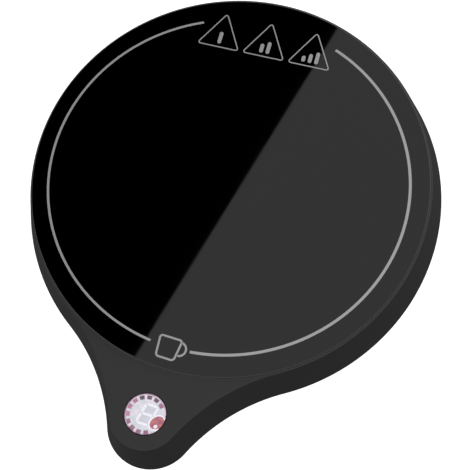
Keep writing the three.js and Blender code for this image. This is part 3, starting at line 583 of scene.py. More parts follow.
def screw_steel(name):
    """Plated screw steel, a little uneven in tone and gloss"""
    material, shader, place = new_material(name, metallic=1.0)
    base = (0.52, 0.51, 0.49)
    marks = noise(place, 0.12 * MM, 4)
    broad = noise(place, 1.6 * MM, 3)
    shade = tint(broad, scaled(base, 0.72), base)
    feed(shader, {"Base Color": shade, "Roughness": spread(marks, 0.22, 0.42)})
    relief(shader, marks, 0.006 * MM)
    return material


def clear_lens():
    """Clear polished plastic of the button"""
    material, shader, place = new_material(
        "clear_lens", transmission_weight=1.0, ior=1.46, base_color=(0.97, 0.97, 0.99))
    feed(shader, {"Roughness": spread(noise(place, 0.6 * MM, 3), 0.0, 0.03)})
    return material


def lit(name, base, second, grain):
    """A lit layer of the display, mottled between two colours"""
    material, shader, place = new_material(
        name, roughness=0.4, specular_ior_level=0.2, emission_strength=1.0)
    patches = sharpen(noise(place, grain, 1.5), 0.35, 0.65)
    feed(shader, {
        "Emission Color": tint(patches, base, second),
        "Base Color": tint(patches, scaled(base, 0.2), scaled(second, 0.2))})
    return material


# Finishes of the pieces inside

def circuit_board():
    """Green solder mask over copper tracks"""
    material, shader, place = new_material("circuit_board", specular_ior_level=0.6)
    across, along = bands(place, 0.9 * MM, "X"), bands(place, 1.3 * MM, "Y")
    tracks = sharpen(larger(across, along), 0.86, 0.93)
    paint(shader, tracks, (0.01, 0.09, 0.035), (0.02, 0.17, 0.06), (0.42, 0.3), 0.03 * MM)
    return material


def felt():
    """White fibre pad"""
    material, shader, place = new_material("felt", sheen_weight=0.4, roughness=1.0)
    fibres = noise(stretched(place, (1, 5, 1), 0.6), 0.8 * MM, 6)
    feed(shader, {"Base Color": tint(fibres, (0.55, 0.53, 0.47), (0.85, 0.84, 0.8))})
    relief(shader, fibres, 0.12 * MM)
    return material


def mica():
    """Layered mica: flakes with their own shade, silvery brown"""
    material, shader, place = new_material("mica", metallic=0.35)
    flakes = cells(place, 2.2 * MM)
    paint(shader, flakes, (0.42, 0.34, 0.2), (0.62, 0.54, 0.38), (0.2, 0.5), 0.03 * MM)
    return material


def silicone():
    return grained("silicone", (0.5, 0.06, 0.035), 0.2 * MM, 0.01 * MM, (0.5, 0.65), 0.15)


def plastic(name, base):
    return grained(name, base, 0.2 * MM, 0.012 * MM, (0.4, 0.55), 0.12)


def insulation(name, base):
    """Soft wire insulation, faintly mottled"""
    material, shader, place = new_material(name, specular_ior_level=0.45)
    paint(shader, noise(place, 0.5 * MM, 3), scaled(base, 0.8), base, (0.35, 0.55), 0.01 * MM)
    return material


def inner_finishes():
    """The finish of every node that keeps its own shape"""
    steel = screw_steel("small_screw_steel")
    board = circuit_board()
    black = plastic("black_component", (0.018, 0.018, 0.02))
    white = plastic("white_plastic", (0.72, 0.71, 0.68))
    lamp = lit("lamp_white", (0.9, 0.92, 1.0), (1.0, 0.98, 0.9), 0.3 * MM)
    red_lead = insulation("lead_red", (0.5, 0.03, 0.02))
    blue_lead = insulation("lead_blue", (0.03, 0.1, 0.45))
    white_lead = insulation("lead_white", (0.7, 0.68, 0.62))
    finishes = {
        "plate_gasket": silicone(),
        "tact_switch": black,
        "switch_plunger": white,
        "display_board": board,
        "control_board": board,
        "display_module": plastic("display_face", (0.6, 0.62, 0.65)),
        "light_guide": plastic("guide_clear", (0.75, 0.78, 0.82)),
        "display_ribbon": insulation("ribbon_white", (0.75, 0.74, 0.7)),
        "heat_spreader": brushed("spreader_aluminium", (0.78, 0.78, 0.8), (1, 12, 1), (0.28, 0.45)),
        "heater_element": brushed("track_foil", (0.56, 0.5, 0.42), (6, 1, 1), (0.25, 0.4)),
        "mica_sheet": mica(),
        "insulation_pad": felt(),
        "heat_shield": brushed("sheet_steel", (0.6, 0.6, 0.61), (10, 1, 1), (0.3, 0.5)),
        "thermistor": plastic("thermistor_bead", (0.05, 0.045, 0.04)),
        "thermistor_holder": silicone(),
        "thermistor_lead": white_lead,
        "thermal_fuse": brushed("fuse_case", (0.7, 0.68, 0.66), (1, 8, 1), (0.2, 0.35)),
        "fuse_clip": brushed("clip_steel", (0.62, 0.62, 0.62), (1, 8, 1), (0.3, 0.45)),
        "film_capacitor": plastic("capacitor_red", (0.42, 0.05, 0.03)),
        "triac": black,
        "controller_chip": black,
        "board_fuse": brushed("fuse_cap", (0.68, 0.66, 0.62), (1, 6, 1), (0.2, 0.4)),
        "ribbon_connector": white,
        "cord_clamp": plastic("clamp_plastic", (0.03, 0.03, 0.03)),
        "terminal_block": white,
        "mains_lead_1": red_lead,
        "mains_lead_2": blue_lead,
        "heater_lead_1": white_lead,
        "heater_lead_2": white_lead,
    }
    finishes.update({f"led_{i}": lamp for i in (1, 2, 3)})
    finishes.update({f"{name}_{i + 1}": steel for name, count, _, _ in POSTS for i in range(count)})
    return finishes


# Hot plate and its printed marks. Places are in millimetres from the plate's centre, turns in degrees.

RING_PLACE = (-0.42, -0.16)
RING_TURNS = [(116.4, 264.4), (-82.8, 71.0)]
MARK_COUNT = 3
MARK_ROW_MIDDLE = (-3.23, 39.12)
MARK_PITCH = 12.37
MARK_TURN = 3.4
MARK_REACH = 6.8
CORNER_ROUND = 1.2
BAR_WIDTH = 1.0
BAR_ROUND_SHARE = 0.49
BAR_PITCH = 1.75
BAR_HEIGHT = 3.4
BAR_FALL = 0.85
BAR_FOOT = 2.3
MUG_PLACE = (-0.1, -46.1)
MUG_TOP_WIDTH = 6.4
MUG_BASE_WIDTH = 5.2
MUG_HEIGHT = 6.0
MUG_ROUND = 1.0
HANDLE_RADIUS = 1.75
HANDLE_TURN = 84
HANDLE_RISE = 0.5
HANDLE_SINK_SHARE = 0.25
LOWER_BEVEL_SHARE = 1 / 3
RING_STEPS = 160


def on_plate(x, y):
    return (x * MM, y * MM + centre_y)


def print_layer(obj):
    """Gives a flat outline the thickness of the enamel, its top level with the top of the model"""
    edit(obj, "FACE")
    bpy.ops.mesh.extrude_region_move(TRANSFORM_OT_translate={"value": (0, 0, -sizes().ink_height)})
    leave()
    return face_out(obj)


def rounded_face(corners, radius):
    """A flat face with round corners, at the top of the model"""
    bpy.ops.mesh.primitive_circle_add(vertices=len(corners), radius=1, fill_type="NGON")
    obj = bpy.context.object
    for vertex, (x, y) in zip(obj.data.vertices, corners):
        vertex.co = (*on_plate(x, y), plate_high.z)
    edit(obj, "VERT")
    bpy.ops.mesh.bevel(offset=radius * MM, segments=CORNER_STEPS, affect="VERTICES")
    leave()
    return obj


def printed_outline(corners, radius, width):
    """A printed line round a shape with round corners"""
    obj = rounded_face(corners, radius)
    edit(obj, "FACE")
    bpy.ops.mesh.inset(thickness=width, use_even_offset=True)
    bpy.ops.mesh.delete(type="FACE")
    leave()
    return print_layer(obj)


def printed_sweep(place, radius, width, start, end, steps, squash=1.0):
    """A printed line that runs round a place from one angle to another, drawn in or out along Y"""
    x, y = on_plate(*place)
    turn = math.radians(start)
    bpy.ops.mesh.primitive_plane_add(size=1)
    obj = bpy.context.object
    for vertex in obj.data.vertices:
        reach = radius + vertex.co.x * width
        z = plate_high.z - sizes().ink_height * (0.5 - vertex.co.y)
        vertex.co = (x + reach * math.cos(turn), y + reach * math.sin(turn), z)
    edit(obj, "FACE")
    bpy.ops.mesh.spin(steps=steps, angle=math.radians(start - end), center=(x, y, 0), axis=(0, 0, 1))
    bpy.ops.mesh.select_all(action="SELECT")
    bpy.ops.transform.resize(value=(1, squash, 1), center_override=(x, y, 0))
    leave()
    return face_out(obj)


def leaning(x, y):
    """A place turned the way the row of marks is turned"""
    place = Vector((x, y))
    place.rotate(Matrix.Rotation(math.radians(MARK_TURN), 2))
    return place


def triangle(middle):
    """Corners of a triangle that points away from the button"""
    turns = [math.radians(MARK_TURN + 90 + 120 * i) for i in range(3)]
    return [middle + Vector((math.cos(turn), math.sin(turn))) * MARK_REACH for turn in turns]


def bars(middle, count):
    """Upright bars in a triangle, the last the highest"""
    shapes = []
    for i in range(count):
        left = (i - (count - 1) / 2) * BAR_PITCH - BAR_WIDTH / 2
        right = left + BAR_WIDTH
        top = BAR_HEIGHT - (count - 1 - i) * BAR_FALL - BAR_FOOT
        corners = [(left, -BAR_FOOT), (right, -BAR_FOOT), (right, top), (left, top)]
        places = [middle + leaning(*corner) for corner in corners]
        shapes.append(print_layer(rounded_face(places, BAR_WIDTH * BAR_ROUND_SHARE)))
    return shapes


def printed_mug():
    """A plain mug in outline, with its handle to the right"""
    width = sizes().mug_line_width
    x, y = MUG_PLACE
    half_top, half_base, half = MUG_TOP_WIDTH / 2, MUG_BASE_WIDTH / 2, MUG_HEIGHT / 2
    cup = printed_outline([
        (x - half_top, y + half), (x - half_base, y - half), (x + half_base, y - half),
        (x + half_top, y + half)], MUG_ROUND, width)
    side = x + (half_top + half_base) / 2 - width / MM * HANDLE_SINK_SHARE
    handle = printed_sweep(
        (side, y + HANDLE_RISE), HANDLE_RADIUS * MM, width, -HANDLE_TURN, HANDLE_TURN, SMALL_STEPS)
    return merge([cup, handle])


class WARMER_OT_plate(bpy.types.Operator):
    """Builds the glass hot plate with its printed ring, level marks and mug"""
    bl_idname = "warmer.plate"
    bl_label = "Hot Plate"

    def execute(self, context):
        s = sizes()
        top = plate_high.z - s.ink_height
        glass = plate_disc(plate_radius, plate_low.z, top)
        bevel(glass, level(top), s.plate_bevel)
        bevel(glass, level(plate_low.z), s.plate_bevel * LOWER_BEVEL_SHARE, COARSE_EDGE_STEPS)
        soften(glass)
        finished(glass, "hot_plate", HOUSING, black_glass(), "hot_plate_glass", "top_plate")

        ink = enamel()
        squash = s.ring_half_depth / s.ring_half_width
        widths = (s.left_ring_width, s.right_ring_width)
        for side, width, (start, end) in zip(("left", "right"), widths, RING_TURNS):
            line = printed_sweep(RING_PLACE, s.ring_half_width, width, start, end, RING_STEPS, squash)
            finished(line, f"printed_ring_{side}", HOUSING, ink, "hot_plate_glass")
        for i in range(MARK_COUNT):
            middle = Vector(MARK_ROW_MIDDLE) + leaning(MARK_PITCH, 0) * (i - (MARK_COUNT - 1) / 2)
            outline = printed_outline(triangle(middle), CORNER_ROUND, s.mark_width)
            mark = merge([outline, *bars(middle, i + 1)])
            finished(mark, f"heat_mark_{i + 1}", HOUSING, ink, "hot_plate_glass")
        finished(printed_mug(), "printed_mug", HOUSING, ink, "hot_plate_glass")
        return {"FINISHED"}


# Housing: the moulded shell. Sizes here and below are in millimetres.

BOSS_NODES = [f"housing_screw_{i}" for i in (1, 2, 3, 4)]
BOSS_FOOT = 1.0
RIB_MARGIN = 0.5
TIP_ROOM = 0.5
HOLE_BEVEL = 0.08
INLET_HALF_WIDTH = 6.4
INLET_WALL = 2.2
INLET_FLOOR_GAP = 0.2
TRAY_FLOOR = 1.5
NECK_GAP = 0.1
POCKET_GAP = 0.25
FLANGE_OUTER = 1.4
FLANGE_REACH = 1.0
OVERRUN = 1.0


def grommet_sizes():
    """Half width and half height of the outer flange, and the inlet's outer and inner faces"""
    half_width = (grommet_high.x - grommet_low.x) / 2
    half_height = (grommet_high.z - grommet_low.z) / 2
    outer_y = grommet_high.y - FLANGE_OUTER * MM
    return half_width, half_height, outer_y, outer_y - INLET_WALL * MM


class WARMER_OT_housing(bpy.types.Operator):
    """Builds the moulded upper shell with its tongue, plate recess and button hole"""
    bl_idname = "warmer.housing"
    bl_label = "Housing"

    def execute(self, context):
        s = sizes()
        top, foot = shell_high.z, shell_low.z
        ledge_under = gasket_low.z - s.ledge_thickness
        ceiling = top - s.tongue_skin
        recess_radius = plate_radius + s.plate_gap
        hole_radius = s.lens_radius + s.button_gap
        over = OVERRUN * MM

        levels = [wall_at(foot, s.foot_round), wall_at(foot + s.foot_round)]
        for i in range(EDGE_STEPS + 1):
            turn = math.radians(90 * i / EDGE_STEPS)
            levels.append((top - s.edge_round * (1 - math.sin(turn)), -s.edge_round * (1 - math.cos(turn))))
        shell = loft(levels)
        inside = loft([wall_at(foot - over, s.wall_thickness), wall_at(ledge_under, s.wall_thickness)])
        tongue_pocket = loft([
            wall_at(ledge_under - over, s.wall_thickness), wall_at(ceiling, s.wall_thickness)])
        cut(tongue_pocket, plate_disc(recess_radius + s.wall_thickness, 0, top))
        hole = button_disc(hole_radius, foot, top + over)
        recess = plate_disc(recess_radius, gasket_low.z, top + over)
        throat = plate_disc(recess_radius - s.ledge_width, 0, top + over)
        cut(shell, inside, tongue_pocket, recess, throat, hole)
        bevel(shell, hole_edge(top, hole_radius, (0, button_y)), HOLE_BEVEL * MM, COARSE_EDGE_STEPS)

        for node in BOSS_NODES:
            add_boss(shell, node, ledge_under)
        add_inlet(shell, ledge_under)
        face_out(shell)
        soften(shell, MOULDED_SMOOTH_ANGLE)
        finished(shell, "housing_shell", HOUSING, housing_plastic(), "housing_plastic", "upper_shell")
        return {"FINISHED"}


def add_boss(shell, node, ledge_under):
    """A screw boss under the ledge with a rib to the wall, and the hole for its screw"""
    s = sizes()
    place, _, _, screw_top = round_node(node)
    boss_low = tray_low.z + (TRAY_FLOOR + BOSS_FOOT) * MM
    top = ledge_under + s.ledge_thickness / 2
    outward = Vector((place.x, place.y - centre_y, 0))
    rib_end = place.x + s.body_radius - outward.length + RIB_MARGIN * MM
    boss = cylinder(s.boss_radius, boss_low, top, place.x, place.y)
    rib = block(
        (place.x, place.y - s.boss_rib / 2, boss_low + OVERRUN * MM),
        (rib_end, place.y + s.boss_rib / 2, top))
    rib = turned(rib, math.atan2(outward.y, outward.x), (place.x, place.y, 0))
    join_on(shell, rib, boss)
    cut(shell, cylinder(s.screw_hole, 0, screw_top + TIP_ROOM * MM, place.x, place.y))


def add_inlet(shell, ledge_under):
    """The flat-faced block at the back that grips the grommet"""
    half_width, half_height, outer_y, inner_y = grommet_sizes()
    low = tray_low.z + (TRAY_FLOOR + INLET_FLOOR_GAP) * MM
    join_on(shell, block(
        (-INLET_HALF_WIDTH * MM, inner_y, low),
        (INLET_HALF_WIDTH * MM, outer_y, ledge_under + sizes().ledge_thickness / 2)))
    reach = shell_high.y + OVERRUN * MM
    room, drawn_in = POCKET_GAP * MM, (FLANGE_REACH - NECK_GAP) * MM
    pocket = slot_body(half_width + room, half_height + room, outer_y, reach, grommet_z)
    neck = slot_body(
        half_width - drawn_in, half_height - drawn_in, inner_y - OVERRUN * MM, reach, grommet_z)
    cut(shell, pocket, neck)


# Base tray, feet and screws

TRAY_FIT = 0.25
TRAY_CHAMFER = 0.2
RIM_HEIGHT = 1.6
RIM_THICKNESS = 1.2
TRAY_BOSS_RADIUS = 3.7
COUNTERBORE_GAP = 0.35
CRADLE_DROP = 1.7

# Small screws: how many, the radius of their posts, and the thickness of what they hold down
POSTS = [
    ("shield_screw", 4, 2.2, 0.6),
    ("control_screw", 2, 2.2, 1.2),
    ("display_screw", 2, 1.8, 1.0),
    ("clamp_screw", 2, 1.7, 1.5),
]
POST_HOLE = 0.98
SMALL_HEAD = 1.0

FOOT_COUNT = 5
FOOT_POCKET = 0.8
FOOT_GAP = 0.15
FOOT_TAPER = 0.5
FOOT_EDGE = 0.4
FOOT_GROOVE = 0.25
FOOT_BORDER_SHARE = 0.22
GROOVE_SLOPE_SHARE = 0.03
GROOVE_WIDTH_SHARE = 0.16

HEAD_HEIGHT = 1.3
HEAD_ROUND = 0.4
SHANK_RADIUS = 1.4
TIP_BEVEL = 0.6
CROSS_DEPTH = 0.85
CROSS_HALF_WIDTH = 0.28
CROSS_REACH_SHARE = 0.62
CROSS_TAPER_SHARES = (0.45, 0.6)
FIRST_SCREW_TURN = 0.4

GROMMET_WALL = 0.8
OUTER_FLANGE_ROUND = 0.45
INNER_FLANGE_REACH = 0.4
INNER_FLANGE_ROUND = 0.15


class WARMER_OT_tray(bpy.types.Operator):
    """Builds the base tray that closes the housing, with its pockets, screw places and posts"""
    bl_idname = "warmer.tray"
    bl_label = "Base Tray"

    def execute(self, context):
        s = sizes()
        under, floor_top = tray_low.z, tray_low.z + TRAY_FLOOR * MM
        rim_top = floor_top + RIM_HEIGHT * MM
        over = OVERRUN * MM
        fit = s.wall_thickness + TRAY_FIT * MM
        chamfer, rim = TRAY_CHAMFER * MM, RIM_THICKNESS * MM
        tray = loft([
            wall_at(under, fit + chamfer), wall_at(under + chamfer, fit), wall_at(rim_top, fit)])
        cut(tray, loft([
            wall_at(floor_top, fit + rim), (rim_top + over, flare_at(rim_top) - fit - rim)]))
        outer_y = grommet_sizes()[2]
        gap, deep = (INLET_HALF_WIDTH + POCKET_GAP) * MM, INLET_WALL * MM + s.wall_flare / 2
        cut(tray, block((-gap, outer_y - deep, floor_top), (gap, outer_y + deep, rim_top + over)))
        for node in BOSS_NODES:
            add_screw_place(tray, node, floor_top)
        for i in range(1, FOOT_COUNT + 1):
            place, radius, _, _ = round_node(f"foot_{i}")
            cut(tray, cylinder(radius + FOOT_GAP * MM, 0, under + FOOT_POCKET * MM, place.x, place.y))
        for name, count, radius, carried in POSTS:
            for i in range(1, count + 1):
                add_post(tray, f"{name}_{i}", radius * MM, carried * MM, floor_top)
        add_cradle(tray, floor_top)
        face_out(tray)
        soften(tray, MOULDED_SMOOTH_ANGLE)
        finished(tray, "tray_floor", HOUSING, tray_plastic(), "tray_plastic", "base_tray")
        return {"FINISHED"}


def add_screw_place(tray, node, floor_top):
    """A low boss on the floor that meets the housing's, with the screw's hole and counterbore"""
    place, head_radius, _, _ = round_node(node)
    over = OVERRUN * MM
    join_on(tray, cylinder(
        TRAY_BOSS_RADIUS * MM, floor_top - over / 2, floor_top + BOSS_FOOT * MM, place.x, place.y))
    counterbore = cylinder(head_radius + COUNTERBORE_GAP * MM, 0, floor_top, place.x, place.y)
    hole = cylinder(sizes().screw_hole, 0, floor_top + over * 3, place.x, place.y)
    cut(tray, counterbore, hole)


def add_post(tray, node, radius, carried, floor_top):
    """A post for one small screw, as high as what the screw holds allows"""
    place, _, low, high = round_node(node)
    over = OVERRUN * MM
    top = high - SMALL_HEAD * MM - carried
    join_on(tray, cylinder(radius, floor_top - over / 2, top, place.x, place.y))
    cut(tray, cylinder(POST_HOLE * MM, low - TRAY_FIT * MM, top + over, place.x, place.y))


def add_cradle(tray, floor_top):
    """The block under the cord's clamp, between its two screws"""
    clamp_low, clamp_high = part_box("cord_clamp")
    screw, lane, _, _ = round_node("clamp_screw_1")
    half = abs(screw.x) - lane - TRAY_FIT * MM
    join_on(tray, block(
        (-half, clamp_low.y, floor_top - OVERRUN / 2 * MM),
        (half, clamp_high.y, grommet_z - CRADLE_DROP * MM)))


class WARMER_OT_feet(bpy.types.Operator):
    """Builds the five rubber feet"""
    bl_idname = "warmer.feet"
    bl_label = "Feet"

    def execute(self, context):
        finish = rubber("foot_rubber")
        for i in range(1, FOOT_COUNT + 1):
            foot = add_foot(*round_node(f"foot_{i}"))
            finished(foot, f"rubber_foot_{i}", HOUSING, finish, "foot_rubber", f"foot_{i}")
        return {"FINISHED"}


def add_foot(place, radius, low, high):
    """A tapered foot with a round edge and a groove in its underside"""
    foot = cylinder(radius, low, high, place.x, place.y, SMALL_STEPS * 2)
    edit(foot, "FACE", level(low))
    shrink = 1 - FOOT_TAPER * MM / radius
    bpy.ops.transform.resize(value=(shrink, shrink, 1), center_override=(place.x, place.y, low))
    bpy.ops.mesh.bevel(offset=FOOT_EDGE * MM, segments=ROUND_EDGE_STEPS, affect="EDGES")
    leave()
    edit(foot, "FACE", level(low))
    bpy.ops.mesh.inset(thickness=radius * FOOT_BORDER_SHARE)
    bpy.ops.mesh.inset(thickness=radius * GROOVE_SLOPE_SHARE, depth=-FOOT_GROOVE * MM)
    bpy.ops.mesh.inset(thickness=radius * GROOVE_WIDTH_SHARE)
    bpy.ops.mesh.inset(thickness=radius * GROOVE_SLOPE_SHARE, depth=FOOT_GROOVE * MM)
    leave()
    face_out(foot)
    soften(foot)
    return foot


class WARMER_OT_screws(bpy.types.Operator):
    """Builds the four housing screws with their cross recesses"""
    bl_idname = "warmer.screws"
    bl_label = "Housing Screws"

    def execute(self, context):
        finish = screw_steel("screw_steel")
        for i, node in enumerate(BOSS_NODES):
            screw = add_screw(FIRST_SCREW_TURN + i, *round_node(node))
            finished(screw, f"case_screw_{i + 1}", HOUSING, finish, "screw_steel", node)
        return {"FINISHED"}


def add_screw(turn, place, radius, low, high):
    """A screw with its head down, whose cross stands at a turn in radians"""
    seat, bottom = low + HEAD_HEIGHT * MM, low + CROSS_DEPTH * MM
    screw = cylinder(radius, low, seat, place.x, place.y)
    bevel(screw, level(low), HEAD_ROUND * MM, ROUND_EDGE_STEPS)
    shank = cylinder(SHANK_RADIUS * MM, seat - LAP, high, place.x, place.y, SMALL_STEPS // 2)
    bevel(shank, level(high), TIP_BEVEL * MM, COARSE_EDGE_STEPS)
    join_on(screw, shank)
    reach, half_width = radius * CROSS_REACH_SHARE, CROSS_HALF_WIDTH * MM
    for quarter in (0, math.pi / 2):
        arm = block(
            (place.x - reach, place.y - half_width, low - OVERRUN * MM),
            (place.x + reach, place.y + half_width, bottom))
        edit(arm, "FACE", level(bottom))
        bpy.ops.transform.resize(value=(*CROSS_TAPER_SHARES, 1), center_override=(place.x, place.y, low))
        leave()
        cut(screw, turned(arm, quarter + turn, (place.x, place.y, 0)))
    face_out(screw)
    soften(screw)
    return screw


class WARMER_OT_grommet(bpy.types.Operator):
    """Builds the rubber grommet at the back"""
    bl_idname = "warmer.grommet"
    bl_label = "Cord Grommet"

    def execute(self, context):
        half_width, half_height, outer_y, inner_y = grommet_sizes()
        back, front, z = grommet_low.y, grommet_high.y, grommet_z
        reach, lip, wall = FLANGE_REACH * MM, INNER_FLANGE_REACH * MM, GROMMET_WALL * MM
        width, height = half_width - reach, half_height - reach
        grommet = slot_body(width, height, back, outer_y + LAP, z)
        inner = slot_body(width + lip, height + lip, back, inner_y, z, INNER_FLANGE_ROUND * MM)
        outer = slot_body(half_width, half_height, outer_y, front, z, OUTER_FLANGE_ROUND * MM)
        join_on(grommet, inner, outer)
        cut(grommet, slot_body(width - wall, height - wall, back - reach, front + reach, z))
        face_out(grommet)
        soften(grommet)
        finish = rubber("grommet_rubber", (0.009, 0.009, 0.01))
        finished(grommet, "rubber_grommet", HOUSING, finish, "grommet_rubber", "cord_grommet")
        return {"FINISHED"}


# Button: a clear lens over a lit film. Shares are of the lens radius, angles in degrees.

FILM_SHARE = 0.968
GROUND_SHARE = 0.935
LAYER_COUNT = 6
DASH_PLACE_SHARES = (0.016, -0.03)

# The first dash and the number of dashes of each tone
DASH_STARTS = {"plum": (71.5, 3), "pink": (144.5, 3), "mauve": (218.5, 4), "mauve_right": (47.5, 1)}
DASH_PITCH = 24.3
DASH_TURN = 15.5
DASH_RADIUS_SHARE = 0.85
DASH_WIDTH_SHARE = 0.19

DIGIT_PLACE_SHARES = (0.1, 0.01)
DIGIT_HALF_WIDTH_SHARE = 0.3
DIGIT_HALF_HEIGHT_SHARE = 0.48
DIGIT_SLANT = 0.21
SEGMENT_SHARE = 0.12
DIGIT_STROKES = [
    ((-1, 1), (1, 1)), ((-1, 0), (1, 0)), ((-1, -1), (1, -1)),
    ((-1, 0), (-1, 1)), ((1, 0), (1, 1)), ((-1, -1), (-1, 0)), ((1, -1), (1, 0)),
]

SPOT_PLACE_SHARES = (0.67, -0.23)
SPOT_HALF_SHARES = (0.37, 0.27)
SPOT_TURN = 54
HALO_SHARE = 0.075
GLINT_PLACE_SHARES = (0.67, -0.42)
GLINT_HALF_SHARES = (0.1, 0.08)

# The button's body, in millimetres
FLANGE_THICKNESS = 0.8
LUG_HALF_WIDTH = 0.8
LEG_HALF_DEPTH = 0.6
LEG_GAP = 0.03


def layer(obj, low, high):
    """Gives a flat face a thickness between two heights"""
    for vertex in obj.data.vertices:
        vertex.co.z = low
    edit(obj, "FACE")
    bpy.ops.mesh.extrude_region_move(TRANSFORM_OT_translate={"value": (0, 0, high - low)})
    leave()
    return face_out(obj)


def flat_shape(points, low, high):
    """A thin layer with an outline given in shares of the lens radius"""
    radius = sizes().lens_radius
    bpy.ops.mesh.primitive_circle_add(vertices=len(points), radius=1, fill_type="NGON")
    obj = bpy.context.object
    for vertex, (x, y) in zip(obj.data.vertices, points):
        vertex.co = (x * radius, y * radius + button_y, 0)
    return layer(obj, low, high)


def clipped(points):
    """Brings the points outside the film back onto its edge"""
    return [point * min(1, FILM_SHARE / max(point.length, FILM_SHARE)) for point in points]


def dash(middle, low, high):
    """One dash of the ring near the rim, cut off where the film ends"""
    half = DASH_WIDTH_SHARE / 2
    turns = [math.radians(middle + DASH_TURN * (i / DASH_STEPS - 0.5)) for i in range(DASH_STEPS + 1)]
    points = [
        Vector(DASH_PLACE_SHARES) + Vector((math.cos(turn), math.sin(turn))) * (DASH_RADIUS_SHARE + side)
        for side, way in ((half, turns), (-half, turns[::-1])) for turn in way]
    return flat_shape(clipped(points), low, high)


def oval(place, halves, low, high):
    """An oval spot, cut off where the film ends"""
    points = []
    for i in range(SMALL_STEPS):
        angle = 2 * math.pi * i / SMALL_STEPS
        point = Vector((halves[0] * math.cos(angle), halves[1] * math.sin(angle)))
        point.rotate(Matrix.Rotation(math.radians(SPOT_TURN), 2))
        points.append(Vector(place) + point)
    return flat_shape(clipped(points), low, high)


def digit_point(column, row):
    """A corner of the digit, from -1 to 1 each way, leaning to the right"""
    x, y = DIGIT_PLACE_SHARES
    rise = row * DIGIT_HALF_HEIGHT_SHARE
    return (x + column * DIGIT_HALF_WIDTH_SHARE + rise * DIGIT_SLANT, y + rise)


def stroke(start, end, low, high):
    """One stroke of the digit: a bar with pointed ends"""
    along = Vector(end) - Vector(start)
    step = along.normalized() * SEGMENT_SHARE / 2
    side = Vector((-step.y, step.x))
    first, last = Vector(start) + step / 2, Vector(end) - step / 2
    points = [
        first, first + step - side, last - step - side, last, last - step + side, first + step + side]
    return flat_shape(points, low, high)


def displayed(obj, name, material):
    """Finishes a layer of the display, which moves with the button"""
    return finished(obj, name, BUTTON, material, "display_face")


def add_button_body(top):
    """The dark body under the film, with the flange that stops it, its lug and its leg on the switch"""
    ceiling = shell_high.z - sizes().tongue_skin
    flange_under = ceiling - FLANGE_THICKNESS * MM
    half, depth = LUG_HALF_WIDTH * MM, LEG_HALF_DEPTH * MM
    leg_y = (plunger_low.y + plunger_high.y) / 2
    body = button_disc(sizes().lens_radius, ceiling - LAP, top)
    flange = button_disc(flange_radius, flange_under, ceiling)
    lug = block((-half, cap_low.y, flange_under), (half, button_y, ceiling))
    leg = block((-half, leg_y - depth, plunger_high.z + LEG_GAP * MM), (half, leg_y + depth, ceiling))
    join_on(body, flange, lug, leg)
    soften(body)
    dark = grained("button_body", (0.065, 0.018, 0.03), 0.3 * MM, 0.004 * MM, (0.25, 0.35), 0.2)
    finished(body, "button_body", BUTTON, dark, "button_clear", "button_cap")


def add_dashes(low, high):
    """The ring of dashes round the film, in three tones"""
    c = colours()
    inks = {
        name: lit(f"dash_{name}", tone, scaled(tone, 1.5), 0.7 * MM)
        for name, tone in (("plum", c.dash_plum), ("pink", c.dash_pink), ("mauve", c.dash_mauve))}
    for name, (start, count) in DASH_STARTS.items():
        dashes = [dash(start + DASH_PITCH * i, low, high) for i in range(count)]
        displayed(merge(dashes), f"button_dashes_{name}", inks[name.split("_")[0]])


def add_digit(levels, white):
    """The digit with all its strokes lit, and the darker ground inside its loops"""
    tone = colours().digit_ground
    corners = {(i, j): digit_point(i, j) for i in (-1, 1) for j in (-1, 0, 1)}
    loops = [
        flat_shape([corners[-1, j], corners[1, j], corners[1, j + 1], corners[-1, j + 1]], *levels[2:4])
        for j in (-1, 0)]
    shade = lit("digit_ground", tone, scaled(tone, 1.15), 1.6 * MM)
    displayed(merge(loops), "button_digit_ground", shade)
    strokes = [stroke(corners[start], corners[end], *levels[3:5]) for start, end in DIGIT_STROKES]
    displayed(merge(strokes), "button_digit", white)


def add_spot(levels, white):
    """The red signal spot, with a pale halo under it and a glint on it"""
    c = colours()
    halves = [share + HALO_SHARE for share in SPOT_HALF_SHARES]
    displayed(oval(SPOT_PLACE_SHARES, halves, *levels[4:6]), "button_halo", white)
    red = lit("button_spot", c.spot, c.spot_orange, 1.1 * MM)
    displayed(oval(SPOT_PLACE_SHARES, SPOT_HALF_SHARES, *levels[5:7]), "button_spot", red)
    glint_high = levels[6] + sizes().film_thickness / 2
    displayed(oval(GLINT_PLACE_SHARES, GLINT_HALF_SHARES, levels[5], glint_high), "button_glint", white)


class WARMER_OT_button(bpy.types.Operator):
    """Builds the button: its body, the lit film with its signs, and the clear lens"""
    bl_idname = "warmer.button"
    bl_label = "Button"

    def execute(self, context):
        s, c = sizes(), colours()
        step = s.film_thickness
        film_low = cap_high.z - s.lens_thickness + step - LAYER_COUNT * step
        levels = [film_low + step * i for i in range(LAYER_COUNT + 1)]
        add_button_body(film_low)
        film = button_disc(s.lens_radius * FILM_SHARE, *levels[:2])
        displayed(film, "button_film", lit("button_film", c.film_rim, scaled(c.film_rim, 1.4), 0.8 * MM))
        ground = button_disc(s.lens_radius * GROUND_SHARE, *levels[1:3])
        displayed(ground, "button_ground", lit("button_ground", c.film, c.film_green, 1.3 * MM))
        add_dashes(*levels[2:4])
        white = lit("button_digit", c.digit, scaled(c.digit, 1.08), 0.8 * MM)
        add_digit(levels, white)
        add_spot(levels, white)
        lens = button_disc(s.lens_radius, levels[-1] + step, cap_high.z)
        bevel(lens, level(cap_high.z), s.lens_bevel)
        soften(lens)
        finished(lens, "button_lens", BUTTON, clear_lens(), "button_clear")
        return {"FINISHED"}


